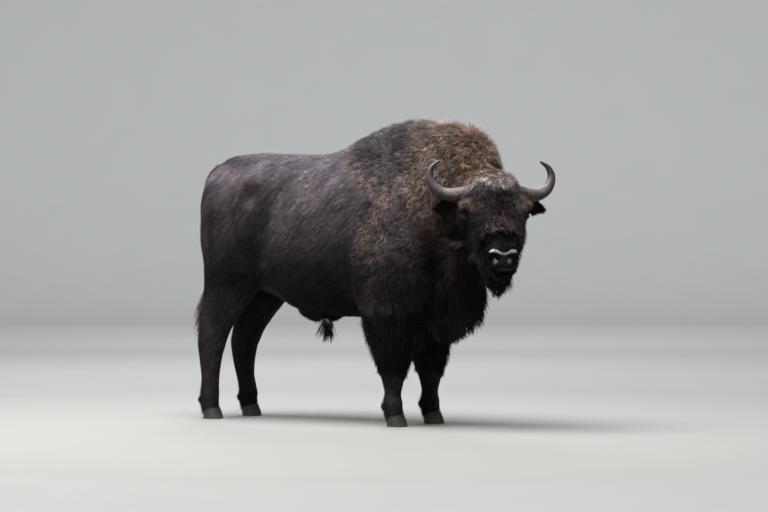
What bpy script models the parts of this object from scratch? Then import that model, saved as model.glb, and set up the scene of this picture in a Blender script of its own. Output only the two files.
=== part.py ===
"""Life-size wisent bull (European bison), standing with its head turned to its right.

Every flesh part is cut out of one whole body, so neighbours meet face to face with a thin gap.
The body is lofted from key sections, fused with a voxel remesh and smoothed. Metres, +Z up, +X is
the way the animal faces, +Y its left.
"""

import math

import bmesh
import bpy
import numpy as np
from mathutils import Matrix, Vector

# Stance. Hoof centres on the floor, and the height of the trunk's dorsal line.
FORE_X = 0.65
HIND_X = -0.700
TRACK = 0.19
HUMP_TOP = 1.765
LOIN_TOP = 1.585

# Head frame: its point is the middle between the horn bases.
HEAD_AT = Vector((1.295, -0.12, 1.345))
HEAD_TURN = math.radians(-42.0)
FACE_LEAN = math.radians(32.0)

EYE_RADIUS = 0.022
EYE_AT = (0.174, -0.050, 0.130)
EAR_AT = (0.160, -0.115, 0.004)

SKIN_VOXEL = 0.011
SMOOTHING = 10
WHOLE_TRIANGLES = 3400
GAP = 0.0004
SOCKET_GAP = 0.0010
HOCK_SHIFT = 0.040
JAW_LINE = math.radians(38.0)

# Hooves: coronet height, its slope from heel to toe, and how far the hoof stands ahead of the leg.
HOOF_TOP = 0.064
CORONET_SLOPE = 0.25
HOOF_AHEAD = 0.022

SIDES = {"right": -1, "left": 1}


# ---------------------------------------------------------------- mesh helpers


def clear_scene():
    for old in list(bpy.data.objects):
        bpy.data.objects.remove(old)


def object_of(name, mesh):
    obj = bpy.data.objects.new(name, mesh)
    bpy.context.scene.collection.objects.link(obj)
    return obj


def catmull_rom(rows, steps):
    """Rows through the key rows, with `steps` rows to each gap."""
    keys = np.array(rows, float)
    padded = np.vstack([2 * keys[0] - keys[1], keys, 2 * keys[-1] - keys[-2]])
    made = []
    for i in range(1, len(padded) - 2):
        before, start, end, after = padded[i - 1 : i + 3]
        for t in np.arange(steps) / steps:
            made.append(
                0.5
                * (
                    2 * start
                    + (end - before) * t
                    + (2 * before - 5 * start + 4 * end - after) * t**2
                    + (3 * start - before - 3 * end + after) * t**3
                )
            )
    made.append(keys[-1])
    return np.array(made)


def power(value, exponent):
    return np.sign(value) * np.abs(value) ** exponent


def shell(rings):
    """A closed mesh through rings of equal point counts, with a fan at each end."""
    rings = np.array(rings)
    count, sides = rings.shape[:2]
    made = bmesh.new()
    verts = [[made.verts.new(p) for p in ring] for ring in rings]
    for low, high in zip(verts, verts[1:]):
        for i in range(sides):
            j = (i + 1) % sides
            made.faces.new((low[i], low[j], high[j], high[i]))
    for ring, points in ((verts[0], rings[0]), (verts[-1], rings[-1])):
        hub = made.verts.new(points.mean(axis=0))
        for i in range(sides):
            made.faces.new((ring[i], ring[(i + 1) % sides], hub))
    bmesh.ops.recalc_face_normals(made, faces=made.faces)
    mesh = bpy.data.meshes.new("shell")
    made.to_mesh(mesh)
    made.free()
    return mesh


def circle(sides):
    turn = np.linspace(0, 2 * math.pi, sides, endpoint=False)
    return np.cos(turn), np.sin(turn)


def joined(meshes):
    made = bmesh.new()
    for mesh in meshes:
        made.from_mesh(mesh)
    mesh = bpy.data.meshes.new("joined")
    made.to_mesh(mesh)
    made.free()
    return mesh


def modified(mesh, *modifiers):
    """The mesh after these modifiers, each given as (type, settings)."""
    obj = object_of("work", mesh)
    for kind, settings in modifiers:
        modifier = obj.modifiers.new(kind, kind)
        for key, value in settings.items():
            setattr(modifier, key, value)
    bpy.context.view_layer.update()
    made = bpy.data.meshes.new_from_object(obj.evaluated_get(bpy.context.evaluated_depsgraph_get()))
    bpy.data.objects.remove(obj)
    return made


def boolean(mesh, other, operation):
    cutter = object_of("cutter", other)
    made = modified(mesh, ("BOOLEAN", {"object": cutter, "operation": operation, "solver": "EXACT"}))
    bpy.data.objects.remove(cutter)
    return made


def fused(meshes, voxel, passes, triangles):
    """Overlapping shells made one smooth skin of about this many triangles."""
    skin = modified(
        joined(meshes),
        ("REMESH", {"mode": "VOXEL", "voxel_size": voxel}),
        ("SMOOTH", {"factor": 0.5, "iterations": passes}),
        ("TRIANGULATE", {}),
    )
    return modified(skin, ("DECIMATE", {"ratio": triangles / len(skin.polygons)}))


def box(low, high, place=Matrix.Identity(4)):
    made = bmesh.new()
    bmesh.ops.create_cube(made, size=1.0)
    low, high = Vector(low), Vector(high)
    size = Matrix.Diagonal((*(high - low), 1.0))
    bmesh.ops.transform(made, matrix=place @ Matrix.Translation((low + high) / 2) @ size, verts=made.verts)
    mesh = bpy.data.meshes.new("box")
    made.to_mesh(mesh)
    made.free()
    return mesh


def ball(centre, radii, turn=Matrix.Identity(4), segments=16, rings=10):
    made = bmesh.new()
    bmesh.ops.create_uvsphere(made, u_segments=segments, v_segments=rings, radius=1.0)
    place = Matrix.Translation(centre) @ turn @ Matrix.Diagonal((*radii, 1.0))
    bmesh.ops.transform(made, matrix=place, verts=made.verts)
    mesh = bpy.data.meshes.new("ball")
    made.to_mesh(mesh)
    made.free()
    return mesh


# ---------------------------------------------------------------- lofts


def barrel_loft(rows, sides=32, steps=4):
    """Upright sections across the body: x, top, bottom, half width, crown and keel exponents."""
    cos, sin = circle(sides)
    rings = []
    for x, top, bottom, half, crown, keel in catmull_rom(rows, steps):
        middle = bottom + 0.52 * (top - bottom)
        upper = sin > 0
        y = np.where(upper, half * power(cos, crown), half * power(cos, keel))
        z = np.where(upper, middle + (top - middle) * sin, middle + (middle - bottom) * sin)
        rings.append(np.column_stack([np.full(sides, x), y, z]))
    return shell(rings)


def limb_loft(rows, sides=24, steps=4):
    """Level sections down a limb: z, x, y, half length, half width."""
    cos, sin = circle(sides)
    rings = []
    for z, x, y, length, width in catmull_rom(rows, steps):
        rings.append(np.column_stack([x + length * cos, y + width * sin, np.full(sides, z)]))
    return shell(rings)


def path_loft(rows, sides=24, steps=4):
    """Sections square to a path: x, y, z, half width, half height."""
    cos, sin = circle(sides)
    keys = catmull_rom(rows, steps)
    along = np.gradient(keys[:, :3], axis=0)
    along /= np.linalg.norm(along, axis=1)[:, None]
    rings = []
    for row, forward in zip(keys, along):
        across = np.cross((0, 0, 1.0), forward)
        across /= np.linalg.norm(across)
        up = np.cross(forward, across)
        rings.append(row[:3] + np.outer(row[3] * cos, across) + np.outer(row[4] * sin, up))
    return shell(rings)


def head_frame():
    """Head coordinates: +X the animal's left, +Y out of the face, +Z down the face to the nose."""
    forward = Vector((math.cos(HEAD_TURN), math.sin(HEAD_TURN), 0.0))
    left = Vector((-forward.y, forward.x, 0.0))
    up = Vector((0.0, 0.0, 1.0))
    out = math.cos(FACE_LEAN) * forward + math.sin(FACE_LEAN) * up
    down = math.sin(FACE_LEAN) * forward - math.cos(FACE_LEAN) * up
    frame = Matrix((left, out, down)).transposed().to_4x4()
    frame.translation = HEAD_AT
    return frame


HEAD = head_frame()


def head_loft(rows, sides=28, steps=4):
    """Sections across the face: down, front, back, half width, roundness of front and back."""
    cos, sin = circle(sides)
    rings = []
    for down, front, back, half, brow, jaw in catmull_rom(rows, steps):
        middle = back + 0.55 * (front - back)
        upper = sin > 0
        x = np.where(upper, half * power(cos, brow), half * power(cos, jaw))
        y = np.where(upper, middle + (front - middle) * sin, middle + (middle - back) * sin)
        local = np.column_stack([x, y, np.full(sides, down), np.ones(sides)])
        rings.append((local @ np.array(HEAD).T)[:, :3])
    return shell(rings)


def on_head(side, lateral, out, down):
    return HEAD @ Vector((side * lateral, out, down))


# ---------------------------------------------------------------- flesh


def trunk():
    return barrel_loft(
        [
            (-0.845, 1.40, 1.10, 0.08, 1.0, 1.0),
            (-0.810, 1.475, 0.98, 0.15, 1.0, 1.0),
            (-0.730, 1.545, 0.90, 0.210, 1.0, 1.0),
            (-0.590, LOIN_TOP + 0.005, 0.83, 0.258, 0.95, 1.0),
            (-0.420, LOIN_TOP + 0.022, 0.77, 0.300, 0.92, 0.95),
            (-0.220, LOIN_TOP + 0.008, 0.71, 0.345, 0.92, 0.90),
            (0.000, LOIN_TOP, 0.64, 0.375, 0.95, 0.88),
            (0.160, LOIN_TOP + 0.020, 0.62, 0.375, 1.05, 0.88),
            (0.320, HUMP_TOP - 0.085, 0.615, 0.365, 1.20, 0.90),
            (0.500, HUMP_TOP - 0.025, 0.60, 0.350, 1.30, 0.95),
            (0.680, HUMP_TOP, 0.59, 0.335, 1.30, 1.0),
            (0.820, HUMP_TOP - 0.010, 0.60, 0.310, 1.25, 1.0),
            (0.940, HUMP_TOP - 0.075, 0.66, 0.250, 1.15, 1.0),
            (1.000, HUMP_TOP - 0.190, 0.80, 0.170, 1.0, 1.0),
        ]
    )


def neck():
    return path_loft(
        [
            (0.66, 0.00, 1.22, 0.300, 0.500),
            (0.84, 0.00, 1.240, 0.285, 0.500),
            (0.98, 0.01, 1.255, 0.248, 0.502),
            (1.08, 0.00, 1.260, 0.200, 0.448),
            (1.16, -0.04, 1.245, 0.166, 0.318),
            (1.22, -0.08, 1.225, 0.130, 0.190),
        ]
    )


def throat_mane():
    return limb_loft(
        [
            (1.08, 0.98, -0.03, 0.240, 0.200),
            (0.90, 0.99, -0.03, 0.210, 0.180),
            (0.74, 0.98, -0.02, 0.190, 0.150),
            (0.62, 0.96, -0.01, 0.165, 0.120),
            (0.52, 0.92, 0.00, 0.105, 0.080),
            (0.46, 0.89, 0.00, 0.035, 0.030),
        ]
    )


def hind_leg(side, hock_shift):
    """Thigh, shank, cannon and pastern. hock_shift moves the hock back."""
    y = side * TRACK
    return limb_loft(
        [
            (1.46, -0.54, side * 0.12, 0.110, 0.080),
            (1.30, -0.555, side * 0.165, 0.190, 0.125),
            (1.10, -0.545, side * 0.185, 0.215, 0.130),
            (0.92, -0.505, side * 0.190, 0.225, 0.122),
            (0.78, -0.538 - 0.2 * hock_shift, y, 0.200, 0.100),
            (0.66, -0.600 - 0.4 * hock_shift, y, 0.157, 0.080),
            (0.55, -0.650 - 0.8 * hock_shift, y, 0.122, 0.067),
            (0.46, -0.682 - hock_shift, y, 0.104, 0.062),
            (0.36, -0.690 - hock_shift, y, 0.080, 0.055),
            (0.25, -0.692 - 0.7 * hock_shift, y, 0.063, 0.051),
            (0.16, -0.696, y, 0.060, 0.053),
            (0.10, HIND_X + 0.004, y, 0.056, 0.052),
            (0.04, HIND_X + 0.014, y, 0.060, 0.060),
        ]
    )


def fore_leg(side):
    """Shoulder, forearm with its skirt of hair, cannon and pastern."""
    y = side * TRACK
    return limb_loft(
        [
            (1.36, 0.56, side * 0.17, 0.150, 0.090),
            (1.20, 0.58, side * 0.205, 0.215, 0.125),
            (1.00, 0.60, side * 0.225, 0.225, 0.135),
            (0.82, 0.60, side * 0.220, 0.205, 0.130),
            (0.68, 0.610, side * 0.205, 0.180, 0.116),
            (0.54, 0.630, y, 0.160, 0.108),
            (0.43, 0.645, y, 0.140, 0.098),
            (0.34, 0.650, y, 0.104, 0.080),
            (0.27, 0.650, y, 0.074, 0.060),
            (0.19, FORE_X, y, 0.053, 0.046),
            (0.13, FORE_X, y, 0.057, 0.052),
            (0.09, FORE_X + 0.006, y, 0.055, 0.052),
            (0.04, FORE_X + 0.016, y, 0.060, 0.060),
        ]
    )


def skull():
    """Head with its forehead mop, cheeks and muzzle, and the brows over the eyes."""
    face = head_loft(
        [
            (-0.138, 0.030, -0.110, 0.080, 1.0, 1.0),
            (-0.108, 0.078, -0.165, 0.130, 0.85, 1.0),
            (-0.040, 0.106, -0.225, 0.168, 0.85, 1.0),
            (0.050, 0.110, -0.245, 0.188, 0.9, 1.0),
            (0.140, 0.100, -0.245, 0.184, 0.95, 1.0),
            (0.220, 0.086, -0.225, 0.162, 1.0, 1.0),
            (0.300, 0.072, -0.190, 0.137, 1.0, 1.0),
            (0.370, 0.062, -0.155, 0.106, 0.95, 1.0),
            (0.430, 0.050, -0.135, 0.094, 0.9, 1.0),
            (0.480, 0.018, -0.120, 0.080, 0.9, 1.0),
            (0.512, -0.032, -0.100, 0.054, 1.0, 1.0),
        ]
    )
    brows = [ball(on_head(side, 0.158, -0.020, 0.100), (0.046, 0.045, 0.055)) for side in SIDES.values()]
    return [face, *brows]


def beard():
    return limb_loft(
        [
            (1.02, 1.295, -0.148, 0.124, 0.105),
            (0.93, 1.333, -0.178, 0.104, 0.090),
            (0.85, 1.360, -0.185, 0.085, 0.075),
            (0.79, 1.365, -0.190, 0.050, 0.050),
            (0.75, 1.365, -0.190, 0.015, 0.015),
        ],
        sides=20,
    )


def sheath():
    """The fold under the belly that the tuft hangs from."""
    return ball((0.02, 0.0, 0.66), (0.17, 0.07, 0.085))


# ---------------------------------------------------------------- horns, ears, eyes, tail, hooves


def tube(points, radii, sides):
    """A round tube along the points, turned with as little twist as the path allows."""
    points = np.array(points, float)
    along = np.gradient(points, axis=0)
    along /= np.linalg.norm(along, axis=1)[:, None]
    side = np.cross(along[0], (0.0, 0.0, 1.0) if abs(along[0][2]) < 0.9 else (1.0, 0.0, 0.0))
    cos, sin = circle(sides)
    rings = []
    for point, forward, radius in zip(points, along, radii):
        side = side - forward * (side @ forward)
        side /= np.linalg.norm(side)
        other = np.cross(forward, side)
        rings.append(point + radius * (np.outer(cos, side) + np.outer(sin, other)))
    return shell(rings)


def horn(side):
    """Out, slightly down, then up and in to the tip: lateral, forward, up from the head's point, radius."""
    rows = catmull_rom(
        [
            (0.125, -0.010, 0.000, 0.040),
            (0.185, -0.020, -0.015, 0.040),
            (0.262, -0.038, -0.018, 0.036),
            (0.325, -0.055, 0.014, 0.031),
            (0.357, -0.070, 0.075, 0.024),
            (0.343, -0.078, 0.134, 0.016),
            (0.291, -0.080, 0.174, 0.005),
        ],
        2,
    )
    turn = Matrix.Rotation(HEAD_TURN, 4, "Z")
    points = [HEAD_AT + turn @ Vector((forward, side * lateral, up)) for lateral, forward, up, _ in rows]
    return tube(points, rows[:, 3], sides=10)


def ear(side):
    """A cupped leaf that stands out and a little back and down."""
    turn = Matrix.Rotation(HEAD_TURN, 4, "Z")
    base = HEAD @ Vector((side * EAR_AT[0], EAR_AT[1], EAR_AT[2]))
    reach = turn @ Vector((-0.010, side * 0.172, -0.042))
    face = turn @ Vector((0.85, side * 0.25, -0.35))
    across = reach.cross(face).normalized()
    face = across.cross(reach).normalized()
    cos, sin = circle(12)
    rings = []
    for share in np.linspace(0.0, 1.0, 6):
        wide = 0.058 * math.sin(math.pi * min(1.0, 0.14 + 0.83 * share)) ** 0.65
        thick = 0.011
        cup = -0.024 * math.sin(math.pi * (0.15 + 0.85 * share)) * (1 - (cos) ** 2)
        centre = np.array(base + reach * share)
        rings.append(centre + np.outer(wide * cos, across) + np.outer(thick * sin + cup, face))
    return shell(rings)


def eye(side):
    centre = on_head(side, EYE_AT[0], EYE_AT[1], EYE_AT[2])
    return ball(centre, (EYE_RADIUS,) * 3, segments=10, rings=6)


def nostril(side):
    turn = HEAD.to_3x3().to_4x4() @ Matrix.Rotation(side * 0.6, 4, "Y")
    return ball(on_head(side, 0.052, 0.018, 0.470), (0.020, 0.030, 0.013), turn, 12, 8)


def tail():
    """The dock, from the croup down behind the thighs."""
    rows = catmull_rom(
        [
            (-0.740, 0.00, 1.520, 0.040),
            (-0.828, 0.00, 1.440, 0.040),
            (-0.862, -0.005, 1.250, 0.034),
            (-0.850, -0.010, 1.020, 0.030),
            (-0.840, -0.015, 0.820, 0.028),
        ],
        3,
    )
    return tube(rows[:, :3], rows[:, 3], sides=10)


def tail_tuft():
    rows = catmull_rom(
        [
            (-0.840, -0.015, 0.8165, 0.030),
            (-0.840, -0.018, 0.700, 0.042),
            (-0.838, -0.020, 0.580, 0.040),
            (-0.835, -0.020, 0.470, 0.012),
        ],
        2,
    )
    return tube(rows[:, :3], rows[:, 3], sides=10)


def sheath_tuft():
    rows = catmull_rom(
        [
            (0.030, 0.0, 0.620, 0.040),
            (0.035, 0.0, 0.560, 0.050),
            (0.045, 0.0, 0.500, 0.034),
            (0.055, 0.0, 0.460, 0.008),
        ],
        2,
    )
    return tube(rows[:, :3], rows[:, 3], sides=10)


def claw(foot_x, side, inner):
    """One half of a cloven hoof: a D in plan, with a sloped front wall and a flat sole."""
    half_gap = 0.003
    arc = np.linspace(0, math.pi, 9)
    rings = []
    for height, back, front, width in ((0.0, -0.050, 0.068, 0.058), (HOOF_TOP, -0.046, 0.040, 0.053)):
        x = foot_x + HOOF_AHEAD + (front + back) / 2 + (front - back) / 2 * np.cos(arc)
        y = side * TRACK + inner * (half_gap + width * np.sin(arc))
        slope = CORONET_SLOPE * (x - foot_x - HOOF_AHEAD) if height else 0.0 * x
        rings.append(np.column_stack([x, y, height + slope]))
    return shell(rings)


def dewclaw(foot_x, side, inner):
    """The small horny knob at the back of the pastern."""
    centre = (foot_x - 0.050, side * TRACK + inner * 0.022, 0.112)
    return ball(centre, (0.018, 0.013, 0.024), segments=8, rings=4)


# ---------------------------------------------------------------- parting


def material(name, colour, roughness):
    made = bpy.data.materials.new(name)
    made.use_nodes = True
    shader = made.node_tree.nodes["Principled BSDF"]
    shader.inputs["Base Color"].default_value = (*colour, 1.0)
    shader.inputs["Roughness"].default_value = roughness
    return made


def finishes():
    return {
        "short_coat": material("short_coat", (0.035, 0.026, 0.024), 0.75),
        "long_coat": material("long_coat", (0.060, 0.036, 0.024), 0.85),
        "mane": material("mane", (0.030, 0.020, 0.016), 0.9),
        "leg_coat": material("leg_coat", (0.022, 0.016, 0.015), 0.8),
        "horn": material("horn", (0.120, 0.105, 0.095), 0.4),
        "hoof": material("hoof", (0.030, 0.027, 0.025), 0.5),
        "eye": material("eye", (0.010, 0.007, 0.006), 0.08),
    }


def place(name, mesh, look):
    """The mesh as the node of that name, in that finish."""
    mesh = mesh.copy()
    mesh.materials.clear()
    mesh.materials.append(look)
    mesh.shade_smooth()
    mesh.set_sharp_from_angle(angle=math.radians(40))
    return object_of(name, mesh)


def without(mesh, *cutters):
    for cutter in cutters:
        mesh = boolean(mesh, cutter, "DIFFERENCE")
    return mesh


def socketed(mesh, *pieces):
    """The mesh with a socket for each piece that clears it by the gap."""
    for piece in pieces:
        normals = np.array([v.normal for v in piece.vertices])
        points = np.array([v.co for v in piece.vertices]) + normals * SOCKET_GAP
        piece.vertices.foreach_set("co", points.astype(np.float32).ravel())
        mesh = boolean(mesh, piece, "DIFFERENCE")
    return mesh


def parted(rest, low, high, frame=Matrix.Identity(4)):
    """(what lies in the box, what is left of the rest once it keeps clear of the box by the gap)."""
    inside = boolean(rest, box(low, high, frame), "INTERSECT")
    margin = Vector((GAP,) * 3)
    return inside, without(rest, box(Vector(low) - margin, Vector(high) + margin, frame))


def frame_at(x, y, z, lean=0.0, turn=0.0):
    """A frame at a point, turned about Z and then leaning forward about its own Y, in degrees."""
    return (
        Matrix.Translation((x, y, z))
        @ Matrix.Rotation(math.radians(turn), 4, "Z")
        @ Matrix.Rotation(math.radians(lean), 4, "Y")
    )


def whole_body():
    """Trunk, neck, legs and head as one smooth skin, cut off level with the tops of the hooves."""
    legs = [hind_leg(SIDES["right"], 0.0), hind_leg(SIDES["left"], HOCK_SHIFT)]
    legs += [fore_leg(side) for side in SIDES.values()]
    flesh = [trunk(), neck(), throat_mane(), sheath(), *skull(), beard(), *legs]
    whole = fused(flesh, SKIN_VOXEL, SMOOTHING, WHOLE_TRIANGLES)
    for foot_x in (FORE_X, HIND_X):
        lean = -math.degrees(math.atan(CORONET_SLOPE))
        above_hoof = frame_at(foot_x + HOOF_AHEAD, 0, HOOF_TOP + GAP, lean)
        whole = without(whole, box((-0.15, -0.4, -0.2), (0.15, 0.4, 0.0), above_hoof))
    return whole


def place_foot(end, foot_x, side_name, cannon, looks):
    """A cannon with the two claws under it, and the dewclaws sunk in its back."""
    side = SIDES[side_name]
    for claw_name, inner in (("inner", -side), ("outer", side)):
        name = f"{end}_{side_name}_{claw_name}"
        place(f"hoof_{name}", claw(foot_x, side, inner), looks["hoof"])
        place(f"dewclaw_{name}", dewclaw(foot_x, side, inner), looks["hoof"])
        cannon = socketed(cannon, dewclaw(foot_x, side, inner))
    place(f"{end}_cannon_{side_name}", cannon, looks["leg_coat"])


def part_leg(rest, side_name, looks):
    """One side's legs cut from the body: cannons with their feet, then forearm and thigh."""
    side = SIDES[side_name]

    def beside(inner_y, back, front, depth, frame):
        near, far = sorted((side * inner_y, side * 0.5))
        return parted(rest, (back, near, -depth), (front, far, 0.0), frame)

    piece, rest = beside(0.02, -0.25, 0.25, 0.4, frame_at(FORE_X, 0, 0.315, 8))
    place_foot("fore", FORE_X, side_name, piece, looks)
    piece, rest = beside(0.02, -0.30, 0.30, 0.6, frame_at(HIND_X, 0, 0.480, -10))
    place_foot("hind", HIND_X, side_name, piece, looks)
    piece, rest = beside(0.09, -0.24, 0.22, 0.5, frame_at(0.61, 0, 0.69, -6))
    place(f"forearm_{side_name}", piece, looks["long_coat"])
    piece, rest = beside(0.09, -0.50, 0.27, 0.75, frame_at(-0.56, 0, 1.14, -18))
    place(f"thigh_{side_name}", piece, looks["short_coat"])
    return rest


def part_head(rest, looks):
    """Horns, ears and eyes in their sockets, then head and beard cut from the neck."""
    for side_name, side in SIDES.items():
        place(f"horn_{side_name}", horn(side), looks["horn"])
        place(f"ear_{side_name}", ear(side), looks["mane"])
        place(f"eye_{side_name}", eye(side), looks["eye"])
        rest = socketed(rest, horn(side), ear(side), eye(side))
        rest = without(rest, nostril(side))
    at_head = frame_at(*HEAD_AT, turn=math.degrees(HEAD_TURN))
    jaw = at_head @ Matrix.Translation((0.17, 0, -0.475)) @ Matrix.Rotation(JAW_LINE, 4, "Y")
    piece, rest = parted(rest, (-0.13, -0.45, -0.63), (0.5, 0.45, 0.19), at_head)
    below_jaw, head = parted(piece, (-0.7, -0.5, -0.6), (0.5, 0.5, 0.0), jaw)
    place("beard", below_jaw, looks["mane"])
    place("head", head, looks["mane"])
    return rest


def part_trunk(rest, looks):
    """What is left: throat mane, neck and trunk, with the tail and the tuft under the belly."""
    piece, rest = parted(rest, (0.0, -0.35, -0.6), (0.6, 0.35, 0.0), frame_at(0.83, 0, 0.86))
    place("throat_mane", piece, looks["mane"])
    piece, rest = parted(rest, (0.0, -0.6, -0.8), (0.7, 0.6, 0.8), frame_at(0.86, 0, 1.30, -12))
    place("neck", piece, looks["long_coat"])
    place("trunk", socketed(rest, tail(), sheath_tuft()), looks["short_coat"])
    place("tail", tail(), looks["short_coat"])
    place("tail_tuft", tail_tuft(), looks["mane"])
    place("sheath_tuft", sheath_tuft(), looks["mane"])


def stand_on_floor():
    """Moves every node so that the floor point under the middle of the animal is the origin."""
    nodes = list(bpy.context.scene.objects)
    corners = np.array([v.co for node in nodes for v in node.data.vertices])
    low, high = corners.min(axis=0), corners.max(axis=0)
    shift = Matrix.Translation((-(low[0] + high[0]) / 2, -(low[1] + high[1]) / 2, -low[2]))
    for node in nodes:
        node.data.transform(shift)


def build():
    clear_scene()
    looks = finishes()
    rest = whole_body()
    for side_name in SIDES:
        rest = part_leg(rest, side_name, looks)
    rest = part_head(rest, looks)
    part_trunk(rest, looks)
    stand_on_floor()


build()
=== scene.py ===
"""Looks of a life-size wisent bull (European bison), a museum model standing with its head turned.

One skin stands in for every flesh node and lies inside it by the depth of the coat. The coat is solid
tufts rooted on that skin. Skin and coat take their colours and the lie of the hair from the same table
of zones. Metres, +Z up, +X is the way the animal faces, +Y its left.
"""

import math

import bmesh
import bpy
import numpy as np
from bpy.props import FloatProperty, FloatVectorProperty, IntProperty, PointerProperty
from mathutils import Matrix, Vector
from mathutils.bvhtree import BVHTree
from mathutils.kdtree import KDTree


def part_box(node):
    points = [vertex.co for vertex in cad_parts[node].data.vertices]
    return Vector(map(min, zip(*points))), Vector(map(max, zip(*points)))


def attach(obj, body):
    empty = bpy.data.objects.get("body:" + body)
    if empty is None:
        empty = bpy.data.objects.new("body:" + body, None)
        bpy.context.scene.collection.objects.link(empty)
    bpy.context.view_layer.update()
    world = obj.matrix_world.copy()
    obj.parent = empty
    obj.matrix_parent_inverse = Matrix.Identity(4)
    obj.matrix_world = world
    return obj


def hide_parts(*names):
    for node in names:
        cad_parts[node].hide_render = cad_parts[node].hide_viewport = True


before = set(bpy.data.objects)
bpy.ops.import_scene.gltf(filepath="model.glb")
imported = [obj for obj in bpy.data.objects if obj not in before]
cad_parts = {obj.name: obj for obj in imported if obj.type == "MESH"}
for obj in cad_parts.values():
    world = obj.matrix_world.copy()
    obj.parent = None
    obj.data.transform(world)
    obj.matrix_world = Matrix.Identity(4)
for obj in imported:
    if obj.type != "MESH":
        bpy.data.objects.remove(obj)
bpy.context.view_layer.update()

bl_info = {
    "name": "Wisent bull",
    "version": (1, 0, 0),
    "blender": (4, 5, 0),
    "location": "3D View > Sidebar > Wisent",
    "description": "Skin, coat, horns, hooves, eyes and stage for a life-size wisent",
    "category": "Object",
}

SIDES = {"right": -1.0, "left": 1.0}
ENDS = ("fore", "hind")
UP = np.array((0.0, 0.0, 1.0))

# Nodes of flesh, by the part of the body that their skin and hair belong to.
FLESH = {
    "trunk": ("trunk",),
    "neck": ("neck",),
    "throat": ("throat_mane",),
    "head": ("head",),
    "beard": ("beard",),
    "ear": ("ear_left", "ear_right"),
    "thigh": ("thigh_left", "thigh_right"),
    "forearm": ("forearm_left", "forearm_right"),
    "cannon": ("fore_cannon_left", "fore_cannon_right", "hind_cannon_left", "hind_cannon_right"),
    "tail": ("tail",),
}


# ---------------------------------------------------------------- numbers and vectors


def unit(vectors):
    vectors = np.asarray(vectors, float)
    return vectors / np.maximum(np.linalg.norm(vectors, axis=-1, keepdims=True), 1e-9)


def dot(a, b):
    return (a * b).sum(axis=-1)


def step(value, low, high):
    """0 below low, 1 above high and smooth between. low may be the larger, which turns it round."""
    t = np.clip((value - low) / (high - low), 0.0, 1.0)
    return t * t * (3.0 - 2.0 * t)


def mixed(a, b, share):
    return a + (b - a) * share


def bump(points, centre, radii):
    """1 at the centre, falling off to the sides as a bell of these radii."""
    return np.exp(-0.5 * (((points - np.array(centre)) / np.array(radii)) ** 2).sum(axis=-1))


def wander(points, size, seed):
    """A smooth field from about -1 to 1 whose features are about this size."""
    rng = np.random.default_rng(seed)
    waves = unit(rng.normal(size=(7, 3))) * rng.uniform(0.6, 1.6, (7, 1)) * 2 * math.pi / size
    shifts = rng.uniform(0, 2 * math.pi, 7)
    return np.sin(points @ waves.T + shifts).sum(axis=-1) / 2.6


def catmull_rom(rows, steps):
    """Rows through the key rows, with `steps` rows to each gap."""
    keys = np.array(rows, float)
    padded = np.vstack([2 * keys[0] - keys[1], keys, 2 * keys[-1] - keys[-2]])
    made = []
    for i in range(1, len(padded) - 2):
        before, start, end, after = padded[i - 1 : i + 3]
        for t in np.arange(steps) / steps:
            bend = 2 * before - 5 * start + 4 * end - after
            twist = 3 * start - before - 3 * end + after
            made.append(0.5 * (2 * start + (end - before) * t + bend * t**2 + twist * t**3))
    made.append(keys[-1])
    return np.array(made)


def corners(node):
    low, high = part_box(node)
    return np.array(low), np.array(high)


def middle(node):
    return sum(corners(node)) / 2


# ---------------------------------------------------------------- the head's own frame


class HeadFrame:
    """Lateral to the animal's left, out of the face, and down the face, from between the horn bases."""

    lean = math.radians(32.0)
    eye = np.array((0.174, -0.05, 0.13))

    def __init__(self):
        left_eye, right_eye = middle("eye_left"), middle("eye_right")
        left = unit(left_eye - right_eye)
        forward = np.cross(left, UP)
        out = math.cos(self.lean) * forward + math.sin(self.lean) * UP
        down = math.sin(self.lean) * forward - math.cos(self.lean) * UP
        self.axes = np.array((left, out, down))
        self.forward = forward
        self.at = (left_eye + right_eye) / 2 - self.eye[1] * out - self.eye[2] * down

    def local(self, points):
        return (points - self.at) @ self.axes.T

    def world(self, points):
        return self.at + self.turned(points)

    def turned(self, vectors):
        return np.asarray(vectors, float) @ self.axes


HEAD = HeadFrame()
EYE_RADIUS = float((corners("eye_left")[1] - corners("eye_left")[0])[2] / 2)
FORE_X = float(middle("hoof_fore_right_inner")[0] + middle("hoof_fore_right_outer")[0]) / 2
HIND_X = float(middle("hoof_hind_right_inner")[0] + middle("hoof_hind_right_outer")[0]) / 2


# ---------------------------------------------------------------- settings


def length(name, default, description):
    return FloatProperty(name=name, description=description, default=default, min=0.0, unit="LENGTH")


def share(name, default, description):
    return FloatProperty(name=name, description=description, default=default, min=0.0, subtype="FACTOR")


def power(name, default, description):
    return FloatProperty(name=name, description=description, default=default, min=0.0, unit="POWER")


def colour(name, default, description):
    return FloatVectorProperty(
        name=name, description=description, default=default, size=3, min=0.0, max=1.0, subtype="COLOR"
    )


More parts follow.
